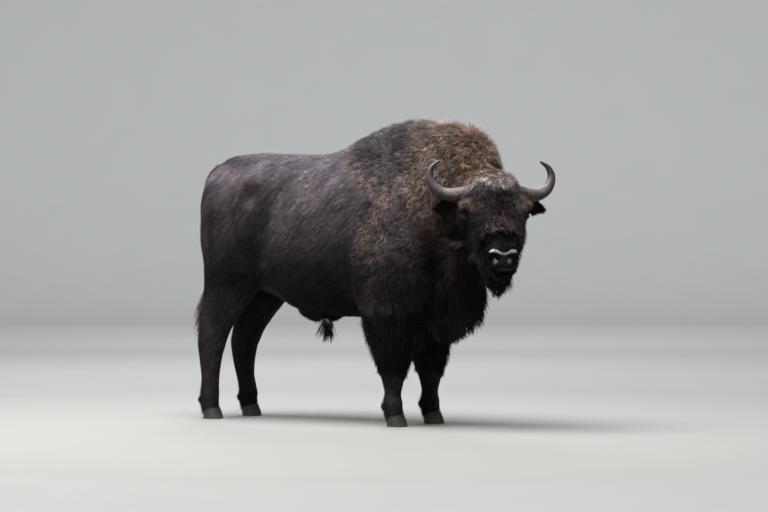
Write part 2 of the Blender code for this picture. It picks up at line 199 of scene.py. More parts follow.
class WisentHair(bpy.types.PropertyGroup):
    """How long the hair is in each zone."""

    flank: length("Flank", 0.023, "Hair of the flank, rump and thigh")
    saddle: length("Saddle", 0.025, "Hair of the loin and upper back")
    belly: length("Belly", 0.034, "Hair under the belly")
    shoulder: length("Shoulder", 0.05, "Wool of the shoulder")
    hump: length("Hump", 0.05, "Wool of the hump")
    crest: length("Crest", 0.072, "Standing hair along the front of the hump")
    neck: length("Neck", 0.062, "Wool of the neck")
    throat: length("Throat", 0.125, "Hanging mane of the throat and brisket")
    beard: length("Beard", 0.1, "Beard under the jaw")
    mop: length("Forehead", 0.066, "Curls between the horns")
    cheek: length("Cheek", 0.072, "Hair of the cheek and jaw")
    face: length("Face", 0.054, "Woolly hair between the forehead and the nose")
    nose: length("Nose", 0.013, "Short hair over the nose")
    ear: length("Ear", 0.017, "Hair of the ears")
    forearm: length("Forearm", 0.058, "Skirt of hair on the forearm")
    shank: length("Shank", 0.022, "Hair between the stifle and the hock")
    cannon: length("Cannon", 0.018, "Hair below the knee and the hock")
    tail: length("Tail", 0.04, "Hair of the dock")
    switch: length("Tail tuft", 0.22, "Long hair at the end of the tail")
    sheath: length("Sheath tuft", 0.15, "Long hair under the belly")
    muzzle: length("Muzzle", 0.007, "Fine hair round the muzzle")
    abundance: share("Abundance", 1.0, "Number of tufts against the usual number")
    seed: IntProperty(name="Seed", description="Seed of everything random in the coat", default=11)


class WisentPelage(bpy.types.PropertyGroup):
    """The colours of the coat and the bare skin."""

    flank: colour("Flank", (0.04, 0.033, 0.036), "Dark brown of the flank, rump and thigh")
    # The saddle's purple-grey tone is partly a painted sheen of the light from above on the top of the back.
    saddle: colour("Saddle", (0.054, 0.045, 0.054), "Greyer brown of the loin and upper back")
    belly: colour("Belly", (0.0008, 0.0007, 0.0008), "Shaded hair under the belly")
    shoulder: colour("Shoulder", (0.092, 0.073, 0.073), "Chocolate wool of the shoulder")
    hump: colour("Hump", (0.035, 0.03, 0.032), "Wool of the hump")
    crest: colour("Crest", (0.052, 0.0345, 0.028), "Orange-brown standing hair")
    neck: colour("Neck", (0.142, 0.104, 0.088), "Wool of the neck")
    throat: colour("Throat", (0.006, 0.0045, 0.004), "Dark mane of the throat")
    beard: colour("Beard", (0.004, 0.0032, 0.0032), "Black beard")
    mop: colour("Forehead", (0.011, 0.0088, 0.0086), "Curls of the forehead")
    brow: colour("Brow", (0.15, 0.1, 0.078), "Brown hair of the brow and the top of the head")
    cheek: colour("Cheek", (0.03, 0.025, 0.025), "Hair of the cheek")
    face: colour("Face", (0.042, 0.032, 0.03), "Woolly hair of the face")
    nose: colour("Nose", (0.003, 0.0025, 0.0026), "Short black hair over the nose")
    ear: colour("Ear", (0.01, 0.008, 0.008), "Dark fluffy ear")
    forearm: colour("Forearm", (0.0055, 0.0045, 0.0042), "Skirt of the forearm")
    shank: colour("Shank", (0.028, 0.024, 0.025), "Hair above the hock")
    cannon: colour("Cannon", (0.026, 0.022, 0.024), "Short hair of the lower leg")
    tail: colour("Tail", (0.01, 0.008, 0.007), "Dark tail")
    muzzle: colour("Muzzle", (0.0015, 0.0014, 0.0017), "Bare black skin of the muzzle")
    band: colour("Nose band", (0.4, 0.385, 0.4), "Pale band over the nostrils")
    pad: colour("Nose pad", (0.018, 0.017, 0.018), "Bare skin between the nostrils")
    lid: colour("Lids", (0.014, 0.012, 0.012), "Rim of the lids")
    # The poll's lighter, greyer tone is partly a painted sheen of the light from above on the top of the
    # head.
    poll: colour("Poll", (0.165, 0.13, 0.122), "Lighter hair on the top of the head")
    frost: colour("Frost", (0.3, 0.265, 0.28), "Pale tips on the forehead")
    rust: colour("Rust", (0.16, 0.07, 0.03), "Rusty ends of the long wool")


class WisentHorn(bpy.types.PropertyGroup):
    """The horns: sheath, growth rings and colours."""

    sides: IntProperty(name="Sides", description="Points round the horn", default=28, min=8)
    ring_depth: length("Ring depth", 0.0011, "Height of the growth rings at the base")
    base: colour("Base", (0.058, 0.049, 0.048), "Grey-brown of the base")
    tip: colour("Tip", (0.012, 0.014, 0.02), "Blue-black of the tip")


class WisentHoof(bpy.types.PropertyGroup):
    """The hooves and dewclaws."""

    edge: length("Edge", 0.004, "Rounding of the sole's edge")
    ridge: length("Ridge", 0.0009, "Height of the growth ridges")
    horn: colour("Horn", (0.014, 0.0122, 0.0118), "Dark horn of the hoof")
    worn: colour("Worn edge", (0.05, 0.044, 0.039), "Paler, worn horn near the ground")


class WisentEye(bpy.types.PropertyGroup):
    """The eyes and the opening between the lids."""

    opening: length("Opening", 0.0165, "Half the length of the opening between the lids")
    gape: length("Gape", 0.0088, "Half the height of the opening between the lids")
    lid: length("Lid", 0.0028, "Thickness of the lid over the ball")
    iris: colour("Iris", (0.016, 0.008, 0.005), "Dark brown iris")
    white: colour("White", (0.02, 0.014, 0.012), "Pigmented edge of the ball")


class WisentStage(bpy.types.PropertyGroup):
    """Floor, light and camera."""

    floor: colour("Floor", (0.17, 0.17, 0.165), "Plain floor, pale under the overhead light")
    wall: colour("Wall", (0.52, 0.53, 0.53), "Plain pale wall")
    key: power("Key", 2800.0, "Power of the large overhead light")
    fill: power("Fill", 90.0, "Power of the soft front light")
    rim: power("Rim", 420.0, "Power of the soft light from behind")
    backdrop: power("Backdrop", 1500.0, "Power of the light on the wall")
    sky: share("Sky", 0.42, "Strength of the even light from all round")


GROUPS = {
    "wisent_hair": WisentHair,
    "wisent_pelage": WisentPelage,
    "wisent_horn": WisentHorn,
    "wisent_hoof": WisentHoof,
    "wisent_eye": WisentEye,
    "wisent_stage": WisentStage,
}


# ---------------------------------------------------------------- meshes


def new_object(name, mesh):
    obj = bpy.data.objects.new(name, mesh)
    bpy.context.scene.collection.objects.link(obj)
    return obj


def mesh_of(points, loops, sizes, name="mesh"):
    """A smooth mesh from points, the point of every face corner and the corner count of every face."""
    mesh = bpy.data.meshes.new(name)
    sizes = np.asarray(sizes, np.int32)
    mesh.vertices.add(len(points))
    mesh.vertices.foreach_set("co", np.ascontiguousarray(points, np.float32).ravel())
    mesh.loops.add(len(loops))
    mesh.loops.foreach_set("vertex_index", np.ascontiguousarray(loops, np.int32))
    mesh.polygons.add(len(sizes))
    starts = np.concatenate([[0], np.cumsum(sizes)[:-1]]).astype(np.int32)
    mesh.polygons.foreach_set("loop_start", starts)
    mesh.polygons.foreach_set("use_smooth", np.ones(len(sizes), bool))
    mesh.update(calc_edges=True)
    return mesh


def remeshed(mesh, voxel):
    """The mesh made anew as one closed surface of even squares."""
    obj = new_object("work", mesh)
    modifier = obj.modifiers.new("remesh", "REMESH")
    modifier.mode = "VOXEL"
    modifier.voxel_size = voxel
    bpy.context.view_layer.update()
    made = bpy.data.meshes.new_from_object(obj.evaluated_get(bpy.context.evaluated_depsgraph_get()))
    bpy.data.objects.remove(obj)
    return made


def read(mesh, what):
    """Points, normals, edges or triangles of a mesh as an array."""
    source, key, width, kind = {
        "points": (mesh.vertices, "co", 3, np.float32),
        "normals": (mesh.vertex_normals, "vector", 3, np.float32),
        "edges": (mesh.edges, "vertices", 2, np.int32),
        "triangles": (mesh.loop_triangles, "vertices", 3, np.int32),
    }[what]
    made = np.empty(len(source) * width, kind)
    source.foreach_get(key, made)
    made = made.reshape(-1, width)
    return made.astype(float) if kind is np.float32 else made


def write_points(mesh, points):
    mesh.vertices.foreach_set("co", points.astype(np.float32).ravel())
    mesh.update()


def node_mesh(name, growth):
    """A merged copy of a node's mesh, pushed out along its normals."""
    made = bmesh.new()
    made.from_mesh(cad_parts[name].data)
    bmesh.ops.remove_doubles(made, verts=made.verts, dist=1e-5)
    made.normal_update()
    moved = [vert.co + vert.normal * growth for vert in made.verts]
    for vert, place in zip(made.verts, moved):
        vert.co = place
    mesh = bpy.data.meshes.new(name)
    made.to_mesh(mesh)
    made.free()
    return mesh


def joined(meshes):
    made = bmesh.new()
    for mesh in meshes:
        made.from_mesh(mesh)
    mesh = bpy.data.meshes.new("joined")
    made.to_mesh(mesh)
    made.free()
    return mesh


def ball_mesh(centre, radii, segments=20, rings=12):
    made = bmesh.new()
    bmesh.ops.create_uvsphere(made, u_segments=segments, v_segments=rings, radius=1.0)
    for vert in made.verts:
        vert.co = Vector(centre) + Vector(np.array(vert.co) * np.array(radii))
    mesh = bpy.data.meshes.new("ball")
    made.to_mesh(mesh)
    made.free()
    return mesh


def tube_rings(points, radii, sides):
    """Rings of points round a path, turned with as little twist as the path allows."""
    along = unit(np.gradient(points, axis=0))
    side = np.cross(along[0], UP if abs(along[0][2]) < 0.9 else (1.0, 0.0, 0.0))
    turn = np.linspace(0, 2 * math.pi, sides, endpoint=False)
    rings = []
    for point, forward, radius in zip(points, along, radii):
        side = unit(side - forward * (side @ forward))
        other = np.cross(forward, side)
        rings.append(point + radius * (np.outer(np.cos(turn), side) + np.outer(np.sin(turn), other)))
    return np.array(rings)


def shell_mesh(rings, name="shell"):
    """A closed smooth mesh through rings of equal point counts, with a fan at each end."""
    count, sides = rings.shape[:2]
    index = np.arange(count * sides).reshape(count, sides)
    low, high = index[:-1], index[1:]
    quads = np.stack([low, np.roll(low, -1, 1), np.roll(high, -1, 1), high], axis=-1).reshape(-1, 4)
    hubs = np.array([rings[0].mean(axis=0), rings[-1].mean(axis=0)])
    first, last = index[0], index[-1]
    start = np.stack([np.roll(first, -1), first, np.full(sides, count * sides)], axis=-1)
    end = np.stack([last, np.roll(last, -1), np.full(sides, count * sides + 1)], axis=-1)
    points = np.vstack([rings.reshape(-1, 3), hubs])
    loops = np.concatenate([quads.ravel(), start.ravel(), end.ravel()])
    mesh = mesh_of(points, loops, [4] * len(quads) + [3] * (2 * sides), name)
    return outwards(mesh)


def outwards(mesh):
    made = bmesh.new()
    made.from_mesh(mesh)
    bmesh.ops.recalc_face_normals(made, faces=made.faces)
    made.to_mesh(mesh)
    made.free()
    return mesh


def keep_values(mesh, name, values):
    """Writes one value, vector or colour for each point as an attribute of the mesh."""
    values = np.asarray(values, np.float32)
    if values.ndim == 1:
        layer = mesh.attributes.new(name, "FLOAT", "POINT")
        layer.data.foreach_set("value", values)
        return
    layer = mesh.attributes.new(name, "FLOAT_COLOR", "POINT")
    full = np.ones((len(values), 4), np.float32)
    full[:, :3] = values
    layer.data.foreach_set("color", full.ravel())


def finished(name, mesh, look):
    """The mesh as a piece of the model, in that material, riding on the one body."""
    mesh.name = name
    mesh.materials.clear()
    mesh.materials.append(look)
    piece = new_object(name, mesh)
    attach(piece, "root")
    return piece


# ---------------------------------------------------------------- materials


class Value:
    """A number on a socket, with the arithmetic that the materials use."""

    def __init__(self, look, socket):
        self.look = look
        self.socket = socket

    def maths(self, operation, other, swapped=False):
        pair = (other, self) if swapped else (self, other)
        node = self.look.node("ShaderNodeMath", {"operation": operation}, {0: pair[0], 1: pair[1]})
        return self.look.value(node)

    def __add__(self, other):
        return self.maths("ADD", other)

    __radd__ = __add__

    def __mul__(self, other):
        return self.maths("MULTIPLY", other)

    __rmul__ = __mul__

    def __sub__(self, other):
        return self.maths("SUBTRACT", other)

    def __rsub__(self, other):
        return self.maths("SUBTRACT", other, swapped=True)

    def limited(self, low=0.0, high=1.0):
        return self.maths("MAXIMUM", low).maths("MINIMUM", high)


class Look:
    """One material: a Principled shader and the nodes that feed it."""

    def __init__(self, name, **constants):
        self.material = bpy.data.materials.new(name)
        self.material.use_nodes = True
        self.tree = self.material.node_tree
        self.shader = self.tree.nodes["Principled BSDF"]
        for key, value in constants.items():
            self.shader.inputs[key.replace("_", " ")].default_value = value
        self.place = self.value(self.node("ShaderNodeTexCoord"), "Object")

    def node(self, kind, settings=None, inputs=None):
        """A node of that type, with its settings made first and then its sockets given or linked."""
        made = self.tree.nodes.new(kind)
        for key, value in (settings or {}).items():
            if key == "stops":
                self.set_stops(made.color_ramp, value)
            else:
                setattr(made, key, value)
        for key, value in (inputs or {}).items():
            if isinstance(value, Value):
                self.tree.links.new(value.socket, made.inputs[key])
            else:
                made.inputs[key].default_value = value
        return made

    @staticmethod
    def set_stops(ramp, stops):
        while len(ramp.elements) < len(stops):
            ramp.elements.new(0.5)
        for element, (place, tone) in zip(ramp.elements, stops):
            element.position = place
            element.color = (*tone, 1.0)

    def value(self, node, name=0):
        return Value(self, node.outputs[name])

    def feed(self, name, value):
        self.tree.links.new(value.socket, self.shader.inputs[name])

    def attribute(self, name, output="Fac"):
        node = self.node("ShaderNodeAttribute", {"attribute_name": name})
        return self.value(node, output)

    def noise(self, scale, detail=2.0, roughness=0.5, place=None):
        inputs = {"Vector": place or self.place, "Scale": scale, "Detail": detail, "Roughness": roughness}
        return self.value(self.node("ShaderNodeTexNoise", None, inputs), "Fac")

    def cells(self, scale, feature="F1"):
        inputs = {"Vector": self.place, "Scale": scale}
        return self.value(self.node("ShaderNodeTexVoronoi", {"feature": feature}, inputs), "Distance")

    def stretched(self, turn, scale):
        """Object coordinates turned and scaled, which draws a pattern out along one way."""
        inputs = {"Vector": self.place, "Rotation": turn, "Scale": scale}
        return self.value(self.node("ShaderNodeMapping", None, inputs))

    def mix(self, first, second, factor):
        """A colour between two colours."""
        node = self.node("ShaderNodeMix", {"data_type": "RGBA"})
        for key, given in ((0, factor), (6, first), (7, second)):
            if isinstance(given, Value):
                self.tree.links.new(given.socket, node.inputs[key])
            else:
                node.inputs[key].default_value = given if key == 0 else (*given, 1.0)
        return self.value(node, 2)

    def scaled(self, tone, factor):
        """A colour made lighter or darker by a factor."""
        node = self.node("ShaderNodeVectorMath", {"operation": "SCALE"}, {0: tone, "Scale": factor})
        return self.value(node)

    def ramp(self, value, *stops):
        return self.value(self.node("ShaderNodeValToRGB", {"stops": stops}, {"Fac": value}))

    def raised(self, height, strength, distance):
        inputs = {"Height": height, "Strength": strength, "Distance": distance}
        self.feed("Normal", self.value(self.node("ShaderNodeBump", None, inputs)))


HAIR_SHINE = {
    "Specular_IOR_Level": 0.1,
    "Sheen_Weight": 0.02,
    "Sheen_Roughness": 0.4,
    "Sheen_Tint": (0.86, 0.82, 1.0, 1.0),
}


def coat_material(name, **shine):
    """Hair: the colour of the tuft, broken by fine strands."""
    look = Look(name, **(HAIR_SHINE | shine))
    patches = look.noise(9.0, 2.0)
    strands = look.noise(260.0, 1.0)
    tone = look.attribute("pelage", "Color")
    look.feed("Base Color", look.scaled(tone, 0.66 + patches * 0.36 + strands * 0.32))
    look.feed("Roughness", 0.5 + strands * 0.22)
    return look.material


def skin_material():
    """Under the hair it has the coat's colours and a combed grain, and on the muzzle it is bare leather."""
    look = Look("wisent_skin", Specular_IOR_Level=0.06)
    bare = look.attribute("bare")
    combed = look.noise(90.0, 3.0, place=look.stretched((0.0, 0.64, 0.0), (0.16, 1.0, 1.0)))
    fine = look.noise(300.0, 2.0)
    leather = look.cells(420.0)
    tone = look.attribute("pelage", "Color")
    look.feed("Base Color", look.scaled(tone, 0.55 + combed * 0.5 + fine * 0.3))
    look.feed("Roughness", 0.82 - bare * 0.46 + fine * 0.1)
    hair_height = (1.0 - bare) * combed * 3.0
    look.raised(hair_height + bare * leather * 0.6 + fine * 0.2, 0.6, 0.0015)
    return look.material


def horn_material(settings):
    look = Look("wisent_horn", Specular_IOR_Level=0.3, Coat_Weight=0.05, Coat_Roughness=0.3)
    along = look.attribute("along")
    streaks = look.attribute("streaks")
    mottle = look.noise(64.0, 5.0, 0.65)
    under = look.attribute("under")
    base, tip = tuple(settings.base), tuple(settings.tip)
    pale = tuple(1.9 * part for part in base)
    dull = tuple(0.5 * part for part in base)
    tone = look.ramp(along, (0.0, dull), (0.22, pale), (0.55, base), (0.8, tip), (1.0, tip))
    patches = ((look.noise(24.0, 4.0, 0.6) - 0.42) * 7.0).limited()
    flecks = ((mottle - 0.44) * 7.0).limited()
    stain = (0.026, 0.015, 0.01)
    worn = look.mix(stain, tone, (0.18 + 0.45 * patches + 0.45 * flecks).limited())
    # Darker on the horn's underside: painted shade under the light from above.
    look.feed("Base Color", look.scaled(worn, (1.1 + streaks * 0.2) * (1.0 - under * 0.72)))
    look.feed("Roughness", 0.6 - along * 0.22 + mottle * 0.14)
    look.raised(streaks * 0.6 + mottle * 0.9, 0.6, 0.0016)
    return look.material


def hoof_material(settings):
    look = Look("wisent_hoof")
    lines = look.noise(60.0, 3.0, place=look.stretched((0.0, 0.0, 0.0), (0.25, 0.25, 3.0)))
    dust = look.noise(24.0, 4.0)
    low = look.attribute("low")
    worn = (low * (0.35 + dust)).limited()
    tone = look.mix(tuple(settings.horn), tuple(settings.worn), worn)
    look.feed("Base Color", look.scaled(tone, 0.6 + lines * 0.8))
    look.feed("Roughness", 0.46 + dust * 0.24)
    look.raised(lines * 0.8 + dust * 0.3, 0.5, 0.001)
    return look.material


def eye_material(settings):
    """Wet dark ball: pupil, iris and a dim white by the distance from the middle of the gaze."""
    look = Look("wisent_eye", Specular_IOR_Level=0.2, Coat_Weight=0.55, Coat_Roughness=0.02, Coat_IOR=1.33)
    across = look.attribute("from_gaze")
    fibres = look.noise(700.0, 3.0)
    pupil = (0.0015, 0.0013, 0.0014)
    iris = tuple(settings.iris)
    rim = tuple(0.25 * part for part in iris)
    white = tuple(settings.white)
    stops = ((0.0, pupil), (0.34, pupil), (0.4, iris), (0.7, iris), (0.8, rim), (0.9, white))
    look.feed("Base Color", look.scaled(look.ramp(across, *stops), 0.6 + fibres * 0.8))
    look.feed("Roughness", 0.08 + fibres * 0.08)
    return look.material


# ---------------------------------------------------------------- skin


class Skin:
    """The skin's mesh, with what is known at each of its points."""

    def __init__(self, mesh):
        self.mesh = mesh
        self.measure()

    def measure(self):
        self.points = read(self.mesh, "points")
        self.normals = read(self.mesh, "normals")
        self.edges = read(self.mesh, "edges")
        self.degree = np.bincount(self.edges.ravel(), minlength=len(self.points))[:, None]

    def around(self, values):
        """The mean of each point's neighbours."""
        values = values if values.ndim == 2 else values[:, None]
        total = np.zeros_like(values)
        for near, far in (self.edges.T, self.edges.T[::-1]):
            for axis in range(values.shape[1]):
                total[:, axis] += np.bincount(near, values[far, axis], len(values))
        return total / np.maximum(self.degree, 1)

    def blurred(self, values, passes):
        shape = values.shape
        for _ in range(passes):
            values = 0.5 * (values.reshape(len(values), -1) + self.around(values))
        return values.reshape(shape)

    def relax(self, passes, mask=None):
        """Smooths the points and then swells them back, so that thin parts keep their size."""
        for _ in range(passes):
            for factor in (0.5, -0.53):
                move = factor * (self.around(self.points) - self.points)
                self.points = self.points + (move if mask is None else move * mask[:, None])
        self.update()

    def update(self):
        write_points(self.mesh, self.points)
        self.normals = read(self.mesh, "normals")

    def refine(self, wanted):
        """Cuts every edge whose two ends are wanted in half."""
        made = bmesh.new()
        made.from_mesh(self.mesh)
        made.verts.ensure_lookup_table()
        chosen = [edge for edge in made.edges if all(wanted[vert.index] for vert in edge.verts)]
        bmesh.ops.subdivide_edges(made, edges=chosen, cuts=1, use_grid_fill=True)
        made.to_mesh(self.mesh)
        made.free()
        self.mesh.update()
        self.measure()


# How far copies of the flesh and of the dewclaws are pushed out, so that they run together.
FLESH_GROWTH, DEWCLAW_GROWTH = 0.0012, 0.0016

# How much wider than the eye the ball is that fills its socket.
SOCKET_GAP = 0.003

# The ball that fills a horn's socket: lateral, forward and up from the head's point, and its radii.
HORN_ROOT, HORN_ROOT_RADII = (0.15, -0.016, -0.006), (0.05, 0.05, 0.046)


def flesh_mesh():
    """All flesh nodes run together, with the sockets of eyes, horns and dewclaws filled."""
    meshes = [node_mesh(node, FLESH_GROWTH) for nodes in FLESH.values() for node in nodes]
    lateral, forward, up = HORN_ROOT
    for side in SIDES.values():
        base = HEAD.at + lateral * side * HEAD.axes[0] + forward * HEAD.forward + up * UP
        meshes.append(ball_mesh(base, HORN_ROOT_RADII))
        meshes.append(ball_mesh(HEAD.world(HEAD.eye * (side, 1, 1)), (EYE_RADIUS + SOCKET_GAP,) * 3))
    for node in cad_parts:
        if node.startswith("dewclaw"):
            meshes.append(node_mesh(node, DEWCLAW_GROWTH))
    return joined(meshes)


def node_shares(skin):
    """For each part of the body, how far each skin point belongs to it."""
    points, faces, owners = [], [], []
    parts = list(FLESH)
    for number, nodes in enumerate(FLESH.values()):
        for node in nodes:
            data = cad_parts[node].data
            base = len(points)
            points.extend(vert.co.copy() for vert in data.vertices)
            faces.extend([base + i for i in polygon.vertices] for polygon in data.polygons)
            owners.extend([number] * len(data.polygons))
    tree = BVHTree.FromPolygons(points, faces)
    nearest = np.array([owners[tree.find_nearest(Vector(point))[2]] for point in skin.points])
    shares = np.zeros((len(skin.points), len(parts)))
    shares[np.arange(len(nearest)), nearest] = 1.0
    shares = skin.blurred(shares, 6)
    return {part: shares[:, number] for number, part in enumerate(parts)}


def local_thickness(skin):
    tree = BVHTree.FromPolygons(
        [Vector(point) for point in skin.points], [tuple(face.vertices) for face in skin.mesh.polygons]
    )
    found = np.full(len(skin.points), 1.0)
    for number, (point, normal) in enumerate(zip(skin.points, skin.normals)):
        hit = tree.ray_cast(Vector(point - normal * 0.001), Vector(-normal), 1.0)
        if hit[3] is not None:
            found[number] = hit[3]
    return found


def lid_frame(side):
    """Where an eye is, and its gaze, the line of its opening and the way across it, in head coordinates."""
    centre = HEAD.eye * (side, 1, 1)
    gaze = unit((side * 0.8, 0.58, 0.05))
    slit = np.array((0.0, -0.25, 1.0))
    slit = unit(slit - gaze * (slit @ gaze))
    return centre, gaze, slit, np.cross(gaze, slit)


# How much longer the iris and the folds round the eye are along the opening than across it.
EYE_STRETCH = 1.35

# The fold round the lids: how far from the eye's middle, half width and depth.
CREASE_AT, CREASE_WIDTH, CREASE_DEPTH = 0.0235, 0.0025, 0.0022


def round_eye(away, slit, across):
    """Distance from the line of the gaze, on an oval drawn out along the opening."""
    return np.sqrt((away @ slit / EYE_STRETCH) ** 2 + (away @ across) ** 2)


def fit_lids(local, settings):
    """Draws the skin over each ball and opens it between the lids."""
    for side in SIDES.values():
        centre, gaze, slit, across = lid_frame(side)
        away = local - centre
        reach = np.linalg.norm(away, axis=1)
        way = away / reach[:, None]
        flat = EYE_RADIUS * way
        lengthwise = (flat @ slit) / settings.opening
        crosswise = (flat @ across) / (settings.gape * np.maximum(1.0 - lengthwise**2, 0.02))
        front = way @ gaze
        closed = step(np.maximum(np.abs(lengthwise), np.abs(crosswise)), 0.86, 1.12)
        closed = np.where(front > 0.2, closed, 1.0)
        swell = 1.0 + 0.5 * step(closed, 0.2, 0.9) * step(front, 0.2, 0.8)
        inside = EYE_RADIUS - 0.005
        target = mixed(inside, EYE_RADIUS + settings.lid * swell, closed)
        near = (reach < EYE_RADIUS + 0.03) & (front > 0.05)
        open_part = mixed(target, np.maximum(reach, target), closed)
        local = np.where(near[:, None], centre + way * open_part[:, None], local)
        crease = (round_eye(away, slit, across) - CREASE_AT) / CREASE_WIDTH
        groove = np.exp(-(crease**2)) * (front > 0.1) * (reach < 0.05)
        local = local - groove[:, None] * gaze * CREASE_DEPTH
    return local


def path_distance(points, path):
    """Distance from each point to a line through the path's points."""
    best = np.full(len(points), 9.0)
    for start, end in zip(path, path[1:]):
        along = end - start
        t = np.clip((points - start) @ along / (along @ along), 0.0, 1.0)
        best = np.minimum(best, np.linalg.norm(points - start - t[:, None] * along, axis=1))
    return best


# The closed mouth from the middle of the lips back along the jaw, in head coordinates.
MOUTH = ((0.0, -0.02, 0.507), (0.034, -0.03, 0.5), (0.06, -0.052, 0.478), (0.08, -0.078, 0.44))

# The comma of a nostril, from the middle of the nose outwards.
NOSTRIL = ((0.034, 0.02, 0.456), (0.046, 0.024, 0.443), (0.059, 0.016, 0.436), (0.072, 0.002, 0.442))


def mouth_line(side):
    return catmull_rom(np.array(MOUTH) * (side, 1, 1), 4)


def nostril_line(side):
    return catmull_rom(np.array(NOSTRIL) * (side, 1, 1), 3)


# How far the middle of the nose lies to the right of the head's own middle.
NOSE_SHIFT = -0.016

# Forms of the muzzle on either side of the nose's middle, and on it: place, radii and height.
MUZZLE_SIDES = (
    ((0.056, 0.03, 0.424), (0.018, 0.04, 0.018), 0.008),
    ((0.042, 0.0, 0.488), (0.026, 0.03, 0.012), 0.006),
    ((0.02, 0.02, 0.468), (0.012, 0.04, 0.012), -0.003),
)
MUZZLE_MIDDLE = (
    ((0.0, 0.05, 0.39), (0.055, 0.04, 0.026), 0.007),
    ((0.0, 0.0, 0.48), (0.0035, 0.04, 0.018), -0.0035),
)

# The cleft of the mouth as depth and half width, and the lips as height, distance from it and half width.
CLEFT_DEPTH, CLEFT_WIDTH = 0.0045, 0.0042
LIP_HEIGHT, LIP_AWAY, LIP_WIDTH = 0.003, 0.012, 0.007

# A nostril's depth and half width, and the scale in which its distance is measured.
NOSTRIL_DEPTH, NOSTRIL_WIDTH = 0.026, 0.0075
NOSTRIL_SCALE = (1.0, 0.45, 1.0)


def shape_muzzle(local, normals, shares):
    """Nose pad, nostrils, lips and chin, in head coordinates."""
    here = shares["head"] * step(local[:, 2], 0.34, 0.4) * step(local[:, 1], -0.16, -0.08)
    lift = np.zeros(len(local))
    centred = local - (NOSE_SHIFT, 0.0, 0.0)
    for side in SIDES.values():
        for place, radii, height in MUZZLE_SIDES:
            lift += height * bump(centred, np.array(place) * (side, 1, 1), radii)
        near_mouth = path_distance(centred, mouth_line(side))
        lift -= CLEFT_DEPTH * np.exp(-((near_mouth / CLEFT_WIDTH) ** 2))
        lift += LIP_HEIGHT * np.exp(-(((near_mouth - LIP_AWAY) / LIP_WIDTH) ** 2))
    for place, radii, height in MUZZLE_MIDDLE:
        lift += height * bump(centred, place, radii)
    local = local + normals * (lift * here)[:, None]
    for side in SIDES.values():
        flat = (local - (NOSE_SHIFT, 0.0, 0.0)) * NOSTRIL_SCALE
        away = path_distance(flat, nostril_line(side) * NOSTRIL_SCALE)
        pit = np.exp(-((away / NOSTRIL_WIDTH) ** 2))
        inward = unit((-0.45 * side, -1.0, -0.1))
        local = local + inward * (NOSTRIL_DEPTH * pit * here)[:, None]
    return local


# Swellings and hollows of the frame on either side, under the skin: place, radii and height.
BODY_SIDES = (
    ((-0.64, 0.25, 1.42), (0.05, 0.09, 0.042), 0.022),
    ((-0.985, 0.1, 1.39), (0.045, 0.06, 0.05), 0.012),
    ((-0.82, 0.225, 1.44), (0.09, 0.06, 0.05), -0.01),
    ((-0.85, 0.3, 1.13), (0.075, 0.12, 0.17), 0.012),
    ((-0.66, 0.3, 1.12), (0.07, 0.12, 0.16), 0.01),
    ((-0.505, 0.3, 1.18), (0.026, 0.12, 0.17), -0.012),
    ((-0.905, 0.3, 1.08), (0.014, 0.1, 0.16), -0.005),
    ((-0.6, 0.3, 1.33), (0.036, 0.12, 0.034), -0.012),
    ((-0.49, 0.3, 1.21), (0.048, 0.12, 0.12), -0.02),
    ((-0.54, 0.3, 1.0), (0.036, 0.12, 0.09), -0.014),
    ((-0.34, 0.3, 1.1), (0.095, 0.12, 0.17), 0.009),
    ((-0.53, 0.3, 0.88), (0.06, 0.12, 0.03), 0.01),
    ((-0.25, 0.21, 1.49), (0.2, 0.08, 0.03), 0.007),
    ((0.05, 0.3, 0.92), (0.014, 0.12, 0.11), -0.008),
    ((0.095, 0.3, 0.9), (0.014, 0.12, 0.1), -0.006),
    ((HIND_X - 0.085, 0.19, 0.62), (0.03, 0.06, 0.045), 0.01),
    ((HIND_X - 0.01, 0.26, 0.69), (0.026, 0.04, 0.07), -0.01),
    ((HIND_X - 0.01, 0.12, 0.69), (0.026, 0.04, 0.07), -0.01),
    ((HIND_X + 0.01, 0.19, 0.5), (0.04, 0.08, 0.035), 0.004),
    ((HIND_X - 0.018, 0.19, 0.27), (0.012, 0.08, 0.1), -0.005),
    ((FORE_X - 0.018, 0.19, 0.24), (0.012, 0.08, 0.07), -0.004),
    ((FORE_X + 0.02, 0.19, 0.35), (0.04, 0.06, 0.04), 0.006),
    ((FORE_X - 0.01, 0.19, 0.135), (0.06, 0.08, 0.022), 0.005),
    ((HIND_X - 0.01, 0.19, 0.135), (0.06, 0.08, 0.022), 0.005),
)

# The same for single places: behind the left hock, under the belly, along the back and over the tail's root.
BODY_SINGLE = (
    ((HIND_X - 0.08, 0.19, 0.44), (0.034, 0.08, 0.11), 0.018),
    ((-0.46, 0.0, 0.7), (0.06, 0.11, 0.05), 0.026),
    ((0.18, 0.0, 1.76), (0.18, 0.22, 0.06), 0.013),
    ((0.45, 0.0, 1.76), (0.13, 0.22, 0.06), 0.015),
    ((-0.45, 0.0, 1.56), (0.24, 0.16, 0.04), 0.01),
    ((-0.945, 0.0, 1.54), (0.06, 0.05, 0.04), 0.021),
)


def body_forms(points):
    """How far the forms of the frame lift the skin at each point."""
    placed = [(np.array(form[0]) * (1, side, 1), *form[1:]) for side in SIDES.values() for form in BODY_SIDES]
    return sum(height * bump(points, place, radii) for place, radii, height in [*placed, *BODY_SINGLE])


# The most that the coat's depth may take from a part, as a share of its thickness.
MOST_DEPTH = 0.3

# Brows over the eyes, and the soft skin round the sheath: place, radii and, for the brow, height.
BROW, BROW_RADII, BROW_HEIGHT = (0.17, -0.015, 0.078), (0.036, 0.05, 0.022), 0.012
SHEATH, SHEATH_RADII = (-0.3, 0.0, 0.62), (0.17, 0.2, 0.05)


